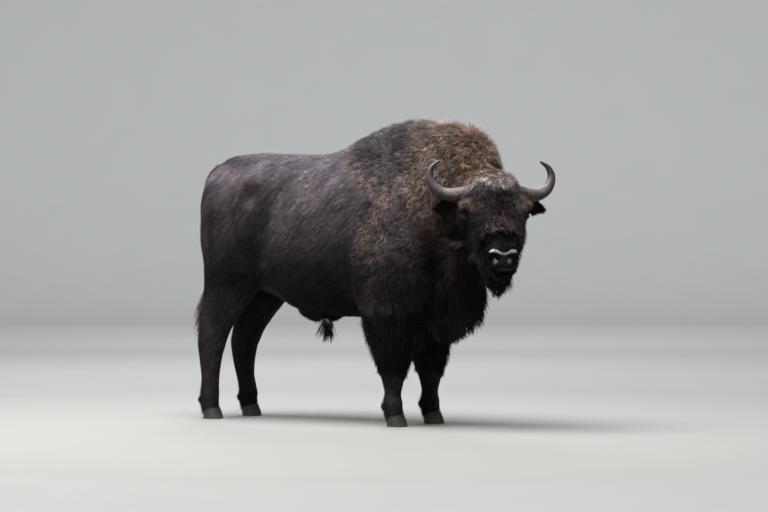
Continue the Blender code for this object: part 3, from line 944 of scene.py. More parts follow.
def sculpted(skin, shares, depth, settings):
    """The skin let in by the coat's depth, then given the forms of the body, the muzzle and the lids."""
    skin.points = skin.points + skin.normals * body_forms(skin.points)[:, None]
    limit = MOST_DEPTH * skin.blurred(local_thickness(skin), 3)
    near_eye = eye_distance(HEAD.local(skin.points))
    depth = skin.blurred(np.minimum(depth, limit) * mixed(0.12, 1.0, step(near_eye, 0.035, 0.095)), 2)
    sole = step(skin.points[:, 2], 0.1, 0.07) * step(shares["cannon"], 0.3, 0.7)
    inward = -skin.normals * depth[:, None]
    inward[:, 2] *= 1.0 - sole
    skin.points = skin.points + inward
    skin.points[:, 2] -= 0.012 * sole
    skin.update()
    skin.relax(2)
    skin.relax(16, np.clip(1.5 * bump(skin.points, SHEATH, SHEATH_RADII), 0, 1))
    local = HEAD.local(skin.points)
    normals = skin.normals @ HEAD.axes.T
    brow = sum(bump(local, np.array(BROW) * (side, 1, 1), BROW_RADII) for side in SIDES.values())
    local = local + normals * (BROW_HEIGHT * brow * shares["head"])[:, None]
    local = shape_muzzle(local, normals, shares)
    local = fit_lids(local, settings)
    face = (shares["head"] > 0.02)[:, None]
    skin.points = np.where(face, HEAD.world(local), skin.points)
    skin.update()


# ---------------------------------------------------------------- zones


# The pale band over the nostrils: how far down the face it lies at each place across it.
NOSE_BAND = ((-0.081, 0.402), (-0.07, 0.409), (-0.058, 0.415), (-0.046, 0.419), (-0.035, 0.426),
             (-0.023, 0.435), (-0.012, 0.44), (0.0, 0.4425), (0.0125, 0.4415), (0.025, 0.437),
             (0.0375, 0.431), (0.05, 0.429), (0.063, 0.427), (0.075, 0.426))

# Where the face is lighter or darker than its zone, mostly painted light and shade that differ between its
# two sides, a few of them darker hair: lateral, out, down, radii, and how much.
FACE_LIGHT_SHADE_AND_TONE = (
    ((0.11, 0.06, 0.092), (0.034, 0.08, 0.036), 3.8),
    ((0.05, 0.07, 0.23), (0.05, 0.08, 0.034), 1.45),
    ((-0.02, 0.08, 0.245), (0.04, 0.08, 0.024), 1.25),
    ((-0.01, 0.06, 0.318), (0.07, 0.09, 0.022), 0.42),
    ((0.085, 0.08, 0.15), (0.028, 0.08, 0.04), 1.9),
    ((0.0, 0.1, 0.15), (0.04, 0.08, 0.04), 0.72),
    ((-0.11, 0.06, 0.29), (0.034, 0.08, 0.06), 0.6),
    ((-0.12, 0.05, 0.225), (0.026, 0.07, 0.03), 0.62),
    ((-0.16, 0.01, 0.09), (0.022, 0.07, 0.018), 1.45),
    ((-0.115, 0.06, 0.105), (0.026, 0.07, 0.03), 1.8),
    ((0.0, 0.09, 0.075), (0.034, 0.08, 0.03), 0.55),
    ((-0.192, 0.0, 0.118), (0.03, 0.06, 0.026), 0.4),
    ((-0.016, 0.05, 0.376), (0.034, 0.08, 0.024), 0.42),
    ((-0.075, 0.04, 0.385), (0.018, 0.06, 0.022), 1.9),
    ((0.05, 0.04, 0.385), (0.018, 0.06, 0.022), 1.7),
    ((-0.21, -0.225, 0.195), (0.055, 0.07, 0.036), 0.42),
)

# Where the long wool of the shoulder ends, as height and place along the body.
WOOL_EDGE = ((0.5, 0.2), (0.72, 0.186), (0.84, 0.193), (1.0, 0.166), (1.12, 0.185), (1.2, 0.225),
             (1.25, 0.262), (1.31, 0.285), (1.38, 0.2), (1.46, 0.09), (1.54, -0.04), (1.75, -0.18))


def zone_masks(points, normals, shares):
    """How far each point belongs to each zone of the coat. The masks of a point add up to 1."""
    x, y, z = points.T
    lateral, out, down = HEAD.local(points).T
    heights, places = np.array(WOOL_EDGE).T
    edge = np.interp(z, heights, places) + 0.014 * wander(points, 0.12, 5)
    soft = 0.016 + 0.14 * step(z, 1.27, 1.44)
    wool = step(x, edge - soft, edge + 1.4 * soft)
    under = step(-normals[:, 2], 0.25, 0.75) * step(z, 0.95, 0.8)
    upper = step(z + 0.06 * wander(points, 0.35, 8), 1.34, 1.5)
    short = shares["trunk"] * (1.0 - wool)
    long = shares["trunk"] * wool
    crest = step(z, 1.46, 1.66) * step(x, 0.46, 0.82)
    head = shares["head"]
    ragged = down + 0.016 * wander(points, 0.05, 9)
    mop = step(down + 0.3 * np.abs(lateral), 0.165, 0.06) * step(out, -0.12, -0.02)
    off_nose = np.abs(lateral - NOSE_SHIFT) + 0.012 * wander(points, 0.04, 10)
    muzzle = step(ragged, 0.392, 0.408) * step(out, -0.05, -0.022) * step(off_nose, 0.094, 0.08)
    nose = step(ragged, 0.282, 0.306) * step(out, -0.1, -0.06) * step(off_nose, 0.108, 0.084)
    front = step(out + 0.2 * down - 0.45 * np.abs(lateral), -0.075, -0.02)
    hock = step(z, 0.88, 0.66)
    covered = 1.0 - under
    below_mop = head * (1.0 - mop)
    dry = below_mop * (1.0 - muzzle)
    woolly = dry * (1.0 - nose)
    masks = {
        "flank": short * covered * (1.0 - upper) + shares["thigh"] * (1.0 - hock),
        "saddle": short * covered * upper,
        "belly": short * under + long * under,
        "hump": long * covered * step(z, 1.38, 1.6) * (1.0 - crest),
        "shoulder": long * covered * step(z, 1.6, 1.38) * (1.0 - crest),
        "crest": (long * covered + shares["neck"]) * crest,
        "neck": shares["neck"] * (1.0 - crest),
        "mop": head * mop,
        "muzzle": below_mop * muzzle,
        "nose": dry * nose,
        "face": woolly * front,
        "cheek": woolly * (1.0 - front),
        "shank": shares["thigh"] * hock,
    }
    masks |= {zone: shares[zone] for zone in ("throat", "beard", "ear", "forearm", "cannon", "tail")}
    total = np.maximum(sum(masks[zone] for zone in ZONES), 1e-6)
    return {zone: masks[zone] / total for zone in ZONES}


# What a zone's coat is like: how far the skin lies in, a tuft's width, its lift in degrees at the root and at
# the tip, the tufts to a square metre, their waviness and their pull downwards.
TRAITS = ("depth", "width", "rise", "rest", "number", "wave", "hang")


def traits(depth, width, rise, rest, *others):
    return np.array((depth, width, math.radians(rise), math.radians(rest), *others))


ZONES = {
    "flank": traits(0.008, 0.0033, 10, 0, 27500, 0.06, 0.0),
    "saddle": traits(0.009, 0.0033, 12, 0, 29000, 0.12, 0.0),
    "belly": traits(0.011, 0.0038, 15, 0, 20000, 0.1, 0.1),
    "hump": traits(0.027, 0.0037, 30, 8, 28500, 0.44, 0.0),
    "shoulder": traits(0.027, 0.0037, 30, 10, 28500, 0.44, 0.05),
    "crest": traits(0.032, 0.0037, 44, 24, 30000, 0.34, 0.0),
    "neck": traits(0.032, 0.0038, 34, 14, 29000, 0.42, 0.1),
    "throat": traits(0.045, 0.0068, 34, 10, 12000, 0.26, 0.8),
    "beard": traits(0.029, 0.0056, 31, 6, 18000, 0.26, 0.75),
    "mop": traits(0.028, 0.0034, 44, 14, 46000, 0.46, 0.15),
    "muzzle": traits(0.0015, 0.001, 20, 8, 6000, 0.05, 0.0),
    "nose": traits(0.004, 0.0022, 18, 3, 52000, 0.15, 0.0),
    "face": traits(0.018, 0.0033, 44, 12, 46000, 0.42, 0.15),
    "cheek": traits(0.022, 0.0036, 40, 14, 38000, 0.42, 0.35),
    "ear": traits(0.0035, 0.0034, 30, 14, 34000, 0.35, 0.3),
    "forearm": traits(0.02, 0.0047, 28, 8, 17500, 0.3, 0.3),
    "shank": traits(0.007, 0.0033, 13, 0, 26000, 0.06, 0.0),
    "cannon": traits(0.005, 0.003, 13, 0, 31000, 0.06, 0.0),
    "tail": traits(0.007, 0.0034, 16, 0, 30000, 0.12, 0.0),
}


# The way that the hair points: along, across and up.
BODY_WAYS = {
    "flank": (-0.72, 0.0, -0.62),
    "saddle": (-0.92, 0.0, -0.3),
    "belly": (-0.9, 0.0, -0.2),
    "hump": (-0.8, 0.0, -0.6),
    "shoulder": (-0.58, 0.0, -0.82),
    "crest": (-0.4, 0.0, -0.45),
    "neck": (-0.52, 0.0, -0.85),
    "throat": (0.06, 0.0, -1.0),
    "beard": (0.0, 0.0, -1.0),
    "forearm": (-0.16, 0.0, -1.0),
    "shank": (-0.18, 0.0, -1.0),
    "cannon": (-0.06, 0.0, -1.0),
    "tail": (0.0, 0.0, -1.0),
}

# The same on the head: how far it fans out sideways, out of the face, and down the face.
HEAD_WAYS = {
    "mop": (0.75, 0.0, 0.8),
    "muzzle": (0.0, 0.0, 1.0),
    "nose": (0.5, 0.0, 1.0),
    "face": (0.45, 0.0, 1.0),
    "cheek": (0.3, -0.35, 0.9),
    "ear": (0.75, 0.0, 0.65),
}


def lie_of_hair(points, normals, masks):
    """The way that the hair points along the skin."""
    lateral = HEAD.local(points)[:, 0]
    ahead = np.ones(len(points))
    fan = np.clip(lateral / 0.15, -1.2, 1.2)
    ways = {zone: np.array(way) for zone, way in BODY_WAYS.items()}
    for zone, (sideways, out, down) in HEAD_WAYS.items():
        spread = np.sign(lateral) if zone == "ear" else fan
        ways[zone] = HEAD.turned(np.stack([sideways * spread, out * ahead, down * ahead], axis=1))
    way = sum(masks[zone][:, None] * ways[zone] for zone in ZONES)
    way = way - normals * dot(way, normals)[:, None]
    way = unit(way + 1e-6)
    across = np.cross(normals, way)
    woolly = masks["hump"] + masks["shoulder"] + masks["neck"] + masks["crest"] + masks["mop"]
    sway = (0.1 + 0.34 * woolly) * wander(points, 0.15, 21)
    sway = sway + (0.03 + 0.12 * woolly) * wander(points, 0.05, 22)
    return way * np.cos(sway)[:, None] + across * np.sin(sway)[:, None]


# Soft patches of the short coat on either side, most of them painted light and shade (painted highlights on
# ridges and folds, painted shade in creases and hollows), some the hair's own tone: middle, radii, and how
# much lighter or darker they are.
LIGHT_SHADE_AND_TONE_PATCHES = (
    ((-0.86, 0.3, 1.22), (0.11, 0.16, 0.1), 0.66),
    ((-0.7, 0.3, 0.99), (0.11, 0.16, 0.14), 0.34),
    ((-0.59, 0.3, 1.04), (0.06, 0.14, 0.1), 0.45),
    ((-0.66, 0.31, 1.15), (0.05, 0.12, 0.06), 1.5),
    ((-0.905, 0.3, 1.08), (0.018, 0.1, 0.16), 0.55),
    ((-0.58, 0.28, 1.38), (0.07, 0.14, 0.05), 0.55),
    ((-0.53, 0.32, 1.27), (0.06, 0.16, 0.1), 0.5),
    ((-0.48, 0.34, 1.16), (0.035, 0.12, 0.12), 0.62),
    ((-0.37, 0.29, 1.4), (0.07, 0.14, 0.045), 0.42),
    ((-0.36, 0.35, 1.07), (0.1, 0.14, 0.09), 1.45),
    ((0.2, 0.34, 0.935), (0.07, 0.14, 0.055), 0.58),
    ((-1.0, 0.22, 1.34), (0.06, 0.16, 0.09), 0.66),
    ((-0.95, 0.0, 1.56), (0.11, 0.075, 0.04), 0.12),
    ((-0.535, 0.295, 0.915), (0.032, 0.1, 0.036), 2.6),
    ((-0.1, 0.36, 1.2), (0.24, 0.16, 0.13), 1.4),
    ((-0.08, 0.32, 1.38), (0.14, 0.14, 0.06), 1.3),
    ((-0.24, 0.3, 1.4), (0.06, 0.12, 0.05), 1.25),
    ((-0.9, 0.2, 1.46), (0.15, 0.08, 0.035), 1.9),
    ((-0.38, 0.1, 1.54), (0.12, 0.16, 0.04), 0.8),
    ((0.15, 0.0, 1.76), (0.16, 0.25, 0.05), 0.72),
    ((0.44, 0.3, 1.16), (0.12, 0.16, 0.15), 1.55),
    ((0.48, 0.1, 1.62), (0.07, 0.2, 0.12), 0.72),
    ((0.595, 0.2, 1.555), (0.07, 0.12, 0.06), 2.0),
    ((0.9, 0.06, 1.57), (0.035, 0.12, 0.06), 3.6),
    ((0.3, 0.3, 0.68), (0.08, 0.1, 0.09), 1.9),
    ((0.3, 0.31, 0.58), (0.06, 0.1, 0.09), 1.5),
    ((0.74, 0.1, 0.6), (0.1, 0.2, 0.1), 4.0),
    ((0.22, 0.28, 1.55), (0.14, 0.2, 0.1), 0.66),
    ((-0.82, 0.12, 1.55), (0.1, 0.12, 0.03), 0.55),
)


# Painted highlights on the nostrils' rims beside the nose's middle: across, down and how strong.
NOSTRIL_HIGHLIGHTS = ((-0.043, 0.464, 0.75), (0.031, 0.474, 0.62))


def markings_and_painted_light(points, normals, masks, pelage, tone):
    """The colour at each point of skin and coat, from the plain tone of its zones, with painted light and
    shade laid over it.
    """

    def shade(factor):
        nonlocal tone
        tone = tone * factor[:, None]

    def paint(name, share, factor=1.0):
        nonlocal tone
        tone = mixed(tone, np.array(getattr(pelage, name)) * factor, share[:, None])

    x, y, z = points.T
    outer = normals[:, 1] * np.sign(y)
    cloud = 1.0 + 0.14 * wander(points, 0.24, 31) + 0.2 * streaks(points, 0.044, 32, 0.7)
    cloud = cloud * (1.0 + 0.26 * wander(points, 0.055, 35) * masks["saddle"] * step(x, -0.62, -0.45))
    # The inner sides of the legs below the body are darker: painted shade between the legs.
    inner = step(-outer, 0.1, 0.7) * step(z, 0.95, 0.8)
    cloud = cloud * (1.0 - 0.6 * inner * (masks["flank"] + masks["shank"] + masks["cannon"]))
    # Skin and coat facing up are lighter and facing down darker: painted light from above.
    lit = 0.7 + 0.42 * step(normals[:, 2], -0.6, 0.6)
    shade(cloud * lit)
    # Darker lower down on the shoulder, neck and flank and towards the front of the shoulder, partly the
    # coat's darker underparts and partly painted shade under the light from above; the top of the neck is
    # darker too.
    low = 0.78 * step(z, 1.34, 0.7) * masks["shoulder"] + 0.94 * step(z, 1.46, 1.0) * masks["neck"]
    low = low + 0.9 * step(z, 1.1, 0.76) * masks["flank"] + 0.8 * step(x, 0.5, 0.68) * masks["shoulder"]
    low = low + 0.46 * step(z, 1.42, 1.6) * masks["neck"]
    shade(np.clip(1.0 - low, 0.05, 1.0))
    both = np.column_stack([x, np.abs(y), z])
    # Painted light and shade, with some of the hair's own tone, in soft patches.
    for place, radii, factor in LIGHT_SHADE_AND_TONE_PATCHES:
        shade(1.0 + (factor - 1.0) * bump(both, place, radii))
    # A lighter, browner band along the wool's edge, partly a painted highlight where the fringe of wool
    # stands out into the light.
    past_edge = x - np.interp(z, *np.array(WOOL_EDGE).T)
    rim = masks["shoulder"] + masks["hump"]
    rim = rim * np.exp(-(((past_edge - 0.05) / 0.05) ** 2)) * step(z, 0.85, 1.1)
    shade(1.0 + 0.9 * rim)
    paint("brow", 0.5 * rim * step(z, 0.95, 1.15), 0.95)
    paint("neck", 0.8 * masks["throat"] * step(z, 0.92, 1.22), 0.3)
    skirt = masks["forearm"] * step(z, 0.6, 0.76) * step(outer, -0.2, 0.5)
    paint("shoulder", 0.85 * skirt, 0.19)
    paint("rust", masks["crest"] * step(x, 0.66, 0.8) * 0.2)

    local = HEAD.local(points)
    lateral, out, down = local.T
    head = masks_of_head(masks)
    # The top of the head is lighter and greyer, partly a painted sheen of the light from above.
    poll = masks["mop"] * step(down + 0.1 * np.abs(lateral), 0.04, -0.02)
    paint("poll", 0.85 * poll)
    behind = masks["mop"] * step(down, -0.085, -0.125)
    paint("brow", 0.8 * behind, 0.95)
    paint("rust", 0.34 * masks["mop"] * step(down, -0.1, -0.145))
    brow = sum(bump(local, (side * 0.174, 0.0, 0.062), (0.026, 0.07, 0.026)) for side in SIDES.values())
    paint("brow", 0.9 * np.clip(0.85 * brow * head, 0, 1))
    dark_mop = bump(local, (0.0, 0.08, 0.105), (0.06, 0.08, 0.045)) * (masks["mop"] + masks["face"])
    shade(1.0 - 0.64 * dark_mop)
    # Painted light and shade on the face, and some darker hair.
    for place, radii, factor in FACE_LIGHT_SHADE_AND_TONE:
        here = bump(local, place, radii) * np.clip(head + masks["nose"], 0, 1)
        shade(1.0 + (factor - 1.0) * here)
    # Painted shadow of the face's fringe over the top of the nose.
    shade(1.0 - 0.75 * (masks["nose"] * step(down, 0.366, 0.34)))
    aside = masks["face"] * step(np.abs(lateral), 0.095, 0.14) * step(down, 0.1, 0.14)
    paint("nose", 0.75 * aside, 1.6)
    to_eye = eye_distance(local)
    paint("nose", 0.95 * step(to_eye, 0.066, 0.034), 1.2)
    ring = np.exp(-(((to_eye - 0.025) / 0.0028) ** 2)) * head
    paint("face", 0.8 * ring, 1.4)
    frost = masks["mop"] * bump(local, (-0.004, 0.1, -0.004), (0.074, 0.08, 0.022))
    paint("frost", frost * np.clip(0.26 + 0.95 * streaks(points, 0.016, 33, 0.72, -HEAD.axes[2]), 0, 0.9))

    across = lateral - NOSE_SHIFT
    pad = masks["muzzle"] * bump(local, (NOSE_SHIFT, 0.03, 0.462), (0.024, 0.08, 0.026))
    paint("pad", 0.9 * pad)
    dip = np.interp(across, *np.array(NOSE_BAND).T)
    thick = 0.0053 + 0.0031 * bump(np.abs(across)[:, None], (0.054,), (0.016,))
    band = np.exp(-(((down - dip) / thick) ** 4)) * step(np.abs(across - 0.003), 0.078, 0.068)
    band = band * step(out, -0.03, 0.0) * step(masks["muzzle"] + masks["nose"], 0.3, 0.8)
    band = band * (0.72 + 0.28 * step(np.abs(across), 0.012, 0.034) + 0.1 * wander(points, 0.02, 37))
    paint("band", 0.94 * np.clip(band, 0, 1))
    # Painted highlights on the rims of the nostrils.
    for place, below, amount in NOSTRIL_HIGHLIGHTS:
        nostril_highlight = bump(local, (NOSE_SHIFT + place, 0.0, below), (0.006, 0.05, 0.008)) * masks["muzzle"]
        paint("band", amount * nostril_highlight, 0.7)
    for side in SIDES.values():
        lip = np.exp(-(((path_distance(local, mouth_line(side)) - 0.004) / 0.002) ** 2))
        paint("band", 0.12 * lip * masks["muzzle"])
    return np.clip(tone, 0.0, 1.0)


def masks_of_head(masks):
    return masks["mop"] + masks["face"] + masks["cheek"]


def streaks(points, size, seed, drawn, lie=(-0.74, 0.0, -0.66)):
    """A field drawn out by this share along the lie of the hair, which is the flank's unless given."""
    lie = unit(lie)
    return wander(points - drawn * (points @ lie)[:, None] * lie, size, seed)


def drop_inside(skin, mask, node):
    """How far below each point the underside of a node lies."""
    tree = BVHTree.FromObject(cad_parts[node], bpy.context.evaluated_depsgraph_get())
    drop = np.full(len(skin.points), 0.3)
    for number in np.nonzero(mask > 0.1)[0]:
        hit = tree.ray_cast(Vector(skin.points[number]), Vector((0.0, 0.0, -1.0)), 1.0)
        drop[number] = hit[3] if hit[3] is not None else 0.0
    return skin.blurred(drop, 2)


# Hair that must not hang far past the underside of its node: zone, node, least length and how far past.
HANGING = (("beard", "beard", 0.055, 1.22), ("throat", "throat_mane", 0.035, 1.02))


def known_at(skin, scene):
    """Everything that skin and coat share, one row for each skin point."""
    lengths, pelage = scene.wisent_hair, scene.wisent_pelage
    masks = zone_masks(skin.points, skin.normals, skin.shares)
    table = sum(masks[zone][:, None] * ZONES[zone] for zone in ZONES)
    hair = dict(zip(TRAITS[1:], table.T[1:]))
    hair["length"] = sum(masks[zone] * getattr(lengths, zone) for zone in ZONES)
    hair["number"] = hair["number"] * lengths.abundance
    for zone, node, least, past in HANGING:
        limit = np.maximum(least, past * drop_inside(skin, masks[zone], node))
        shorter = np.minimum(hair["length"], limit)
        hair["length"] = mixed(hair["length"], shorter, step(masks[zone], 0.0, 0.5))
    height = skin.points[:, 2]
    rear = -skin.normals[:, 0]
    elbow = masks["forearm"] * step(rear, 0.1, 0.7) * bump(height[:, None], (0.6,), (0.07,))
    hair["length"] = hair["length"] * (1.0 + 0.5 * elbow)
    hair["rest"] = hair["rest"] + math.radians(18) * elbow
    pastern = masks["cannon"] * step(rear, 0.0, 0.6) * bump(height[:, None], (0.165,), (0.035,))
    coronet = masks["cannon"] * step(height, 0.125, 0.085)
    hair["length"] = hair["length"] * (1.0 + 1.3 * pastern + 0.7 * coronet)
    hair["rise"] = hair["rise"] + math.radians(14) * (pastern + coronet)
    local = HEAD.local(skin.points)
    down = local[:, 2]
    poll = 0.42 * masks["mop"] * step(down, 0.02, -0.07)
    jaw = 0.5 * masks["cheek"] * step(down, 0.27, 0.37) * step(local[:, 1], -0.16, -0.07)
    clear = step(eye_distance(local), 0.04, 0.105)
    hair["length"] = hair["length"] * mixed(0.16, 1.0, clear) * (1.0 - poll - jaw)
    hair["rise"] = hair["rise"] * mixed(0.4, 1.0, clear)
    plain = sum(masks[zone][:, None] * np.array(getattr(pelage, zone)) for zone in ZONES)
    body = skin.blurred(step(height, 0.8, 1.0) * (1.0 - skin.shares["head"]), 4)
    plain = mixed(plain, skin.blurred(plain, 26), body[:, None])
    skin.masks = masks
    skin.hair = hair
    skin.way = lie_of_hair(skin.points, skin.normals, masks)
    skin.tone = markings_and_painted_light(skin.points, skin.normals, masks, pelage, plain)


# The square of the body's skin before the head is made finer.
BODY_VOXEL = 0.0136


def eye_distance(local):
    """Distance to the nearer eye's middle, in head coordinates."""
    away = [np.linalg.norm(local - HEAD.eye * (side, 1, 1), axis=1) for side in SIDES.values()]
    return np.min(away, axis=0)


def head_area(local):
    lateral, out, down = local.T
    face = (np.abs(lateral) < 0.21) & (out > -0.13) & (down > -0.1) & (down < 0.55)
    ears = (np.abs(lateral) > 0.16) & (np.abs(lateral) < 0.36) & (np.abs(down) < 0.1) & (out > -0.2)
    return face | ears


def eyes_and_muzzle(local):
    lateral, out, down = local.T
    muzzle = (down > 0.37) & (out > -0.1) & (np.abs(lateral) < 0.11) & (down < 0.54)
    return (eye_distance(local) < 0.05) | muzzle


def lids_and_nostrils(local):
    lateral, out, down = local.T
    centred = local - (NOSE_SHIFT, 0.0, 0.0)
    lines = [line(side) for side in SIDES.values() for line in (nostril_line, mouth_line)]
    near = np.min([path_distance(centred, line) for line in lines], axis=0) < 0.02
    band = (down > 0.392) & (down < 0.432) & (out > -0.03) & (np.abs(lateral) < 0.095)
    return (eye_distance(local) < 0.038) | near | band


def make_skin(scene):
    """The whole skin: remeshed flesh, finer on the head, finest round eyes and nostrils."""
    skin = Skin(remeshed(flesh_mesh(), BODY_VOXEL))
    skin.relax(9)
    for wanted in (head_area, eyes_and_muzzle, lids_and_nostrils):
        skin.refine(wanted(HEAD.local(skin.points)))
        skin.relax(1)
    skin.shares = node_shares(skin)
    masks = zone_masks(skin.points, skin.normals, skin.shares)
    depth = sum(masks[zone] * ZONES[zone][0] for zone in ZONES)
    sculpted(skin, skin.shares, depth, scene.wisent_eye)
    known_at(skin, scene)
    return skin


# ---------------------------------------------------------------- tufts


# How much tufts of one zone differ in length, width and lift, and how often they wave.
LENGTHS, WIDTHS, LIFTS, WAVES = (0.72, 1.22), (0.75, 1.25), (0.7, 1.3), (0.5, 1.1)

# How deep the roots lie in the skin and how thick a tuft is against its width, for long and for short tufts.
LONG_ROOT, SHORT_ROOT = 0.002, 0.0008
LONG_THICKNESS, SHORT_THICKNESS = 0.75, 0.5


def blades(root, normal, way, hair, tone, clump, segments, contrast, rng):
    """Closed three-sided tufts. Returns points, colours and the share of the way along for each point.

    contrast is how much the tufts differ, and how much darker their roots are than their tips.
    """
    count = len(root)
    length = hair["length"] * rng.uniform(*LENGTHS, count)
    width = hair["width"] * rng.uniform(*WIDTHS, count)
    spin = rng.normal(0.0, 0.06 + 0.8 * hair["wave"], count)
    across = np.cross(normal, way)
    way = way * np.cos(spin)[:, None] + across * np.sin(spin)[:, None]
    across = unit(np.cross(normal, way))
    rise = hair["rise"] * rng.uniform(*LIFTS, count)
    phase = rng.uniform(0, 2 * math.pi, count)
    turns = rng.uniform(*WAVES, count)
    long = segments > 1
    place = root - normal * (LONG_ROOT if long else SHORT_ROOT)
    rings, shares = [], []
    for number in range(segments + 1):
        t = number / segments
        shares.append(t)
        rings.append(place)
        angle = mixed(rise, hair["rest"], t)
        onward = way * np.cos(angle)[:, None] + normal * np.sin(angle)[:, None]
        onward = onward + across * (hair["wave"] * np.sin(phase + 2 * math.pi * turns * t))[:, None]
        onward = onward + normal * (0.5 * hair["wave"] * np.cos(phase * 1.7 + 5.0 * t))[:, None]
        onward = unit(onward - UP * (hair["hang"] * (0.3 + t))[:, None])
        place = place + onward * (length / segments)[:, None]
    rings = [ring + clump * (share**1.4) for ring, share in zip(rings, shares)]
    half = 0.5 * width
    points, tones, along = [], [], []
    glow = rng.uniform(1.0 - contrast, 1.0 + contrast, count)
    for number, (ring, share) in enumerate(zip(rings, shares)):
        shade = (glow * mixed(1.0 - 1.6 * contrast, 1.0 + 0.7 * contrast, share))[:, None] * tone
        if number == segments:
            points.append(ring[:, None])
            tones.append(shade[:, None])
            along.append(np.ones((count, 1)))
            continue
        ahead = rings[number + 1] - ring
        up = unit(np.cross(ahead, across))
        wide = half * (0.62 + 0.9 * share - 1.25 * share**2 if long else 1.0)
        left = ring - across * wide[:, None]
        right = ring + across * wide[:, None]
        top = ring + up * ((LONG_THICKNESS if long else SHORT_THICKNESS) * wide)[:, None]
        points.append(np.stack([left, top, right], axis=1))
        tones.append(np.repeat(shade[:, None], 3, axis=1))
        along.append(np.full((count, 3), share))
    return np.concatenate(points, axis=1), np.concatenate(tones, axis=1), np.concatenate(along, axis=1)


def blade_faces(segments):
    """Corner lists of one tuft's faces: quads up the sides, a tip and a closed root."""
    quads, triangles = [], [(0, 1, 2)]
    for ring in range(segments - 1):
        for corner in range(3):
            other = (corner + 1) % 3
            low, high = 3 * ring, 3 * ring + 3
            quads.append((low + corner, high + corner, high + other, low + other))
    tip, last = 3 * segments, 3 * (segments - 1)
    for corner in range(3):
        triangles.append((last + (corner + 1) % 3, last + corner, tip))
    return np.array(quads, int).reshape(-1, 4), np.array(triangles)


# The side of a tuft's patch on the map.
PATCH = 0.003


def tuft_mesh(points, tones, along, homes, lean, segments, name):
    """One mesh of all the tufts, each with a small patch of the map at its root's home.

    lean is the skin's normal at each root, which shades the tufts as one coat, and how far it does so.
    """
    count, each = points.shape[:2]
    quads, triangles = blade_faces(segments)
    base = (np.arange(count) * each)[:, None, None]
    quad_loops = (base + quads).reshape(-1)
    triangle_loops = (base + triangles).reshape(-1)
    loops = np.concatenate([quad_loops, triangle_loops])
    sizes = [4] * (count * len(quads)) + [3] * (count * len(triangles))
    mesh = mesh_of(points.reshape(-1, 3), loops, sizes, name)
    keep_values(mesh, "pelage", tones.reshape(-1, 3))
    corner = np.append(np.tile((0.0, 0.5, 1.0), segments), 0.5)
    patch = np.stack([np.broadcast_to(corner, along.shape), along], axis=-1) * PATCH
    spots = (homes[:, None] + patch).reshape(-1, 2)
    layer = mesh.uv_layers.new(name="OFBake")
    layer.data.foreach_set("uv", spots[loops].astype(np.float32).ravel())
    normal, amount = lean
    normals = unit(mixed(read(mesh, "normals"), np.repeat(normal, each, axis=0), amount))
    mesh.normals_split_custom_set_from_vertices(normals)
    return mesh


class Roots:
    """Places on the skin where tufts grow, with what is known there."""

    def __init__(self, skin, chosen, rng):
        """Spreads tufts over the chosen triangles by their area and the number wanted there."""
        corners_of = skin.triangles[chosen]
        number = skin.hair["number"][corners_of].mean(axis=1)
        total = np.cumsum(skin.areas[chosen] * number)
        marks = np.arange(int(total[-1])) + rng.random(int(total[-1]))
        found = np.minimum(np.searchsorted(total, marks), len(total) - 1)
        one, two = np.sqrt(rng.random(len(found))), rng.random(len(found))
        mix = np.stack([1 - one, one * (1 - two), one * two], axis=1)
        ends = corners_of[found]

        def at(values):
            picked = values[ends]
            return (picked * mix[..., None]).sum(axis=1) if picked.ndim == 3 else (picked * mix).sum(axis=1)

        self.point = at(skin.points)
        self.normal = unit(at(skin.normals))
        self.way = unit(at(skin.way))
        self.tone = at(skin.tone)
        self.hair = {key: at(values) for key, values in skin.hair.items()}

    def locks(self, spacing, pull, spread, stretch, rng):
        """For each root, the way across to the middle line of its lock, and that lock's brightness."""
        area = len(self.point) / np.maximum(self.hair["number"].mean(), 1.0)
        wanted = int(area / (stretch * spacing**2))
        chosen = rng.choice(len(self.point), max(2, wanted), replace=False)
        line = unit(self.way.mean(axis=0))
        flat = self.point - (1.0 - 1.0 / stretch) * (self.point @ line)[:, None] * line
        tree = KDTree(len(chosen))
        for number, place in enumerate(flat[chosen]):
            tree.insert(Vector(place), number)
        tree.balance()
        nearest = np.array([tree.find(Vector(place))[1] for place in flat])
        glow = np.exp(np.clip(rng.normal(0.0, spread, len(chosen)), -0.9, 0.65))[nearest]
        sway = rng.normal(0.0, 0.8 * spacing * pull, (len(chosen), 3))[nearest]
        return (flat[chosen][nearest] - flat) * pull + sway, glow


def homes_on(points, centre, lengthwise, column=0, columns=1):
    """A home on the map for each root: its angle round a line through the centre and its place along it."""
    first, second = [axis for axis in range(3) if axis != lengthwise]
    angle = np.arctan2(points[:, first] - centre[first], points[:, second] - centre[second])
    angle = angle / (2 * math.pi) + 0.5
    low, high = points[:, lengthwise].min(), points[:, lengthwise].max()
    along = (points[:, lengthwise] - low) / (high - low)
    spread = np.stack([(angle + column) / columns, along], axis=1)
    return 0.002 + spread * (1.0 - 0.004 - PATCH)


def round_body(points):
    return homes_on(points, (0.0, 0.0, 1.12), 0)


def round_head(points):
    return homes_on(HEAD.local(points), (0.0, -0.06, 0.0), 2)


def round_legs(points):
    """Four charts side by side, one for each leg."""
    homes = np.zeros((len(points), 2))
    front, left = points[:, 0] > 0, points[:, 1] > 0
    for column, here in enumerate((front & left, front & ~left, ~front & left, ~front & ~left)):
        if here.any():
            homes[here] = homes_on(points[here], points[here].mean(axis=0), 2, column, 4)
    return homes


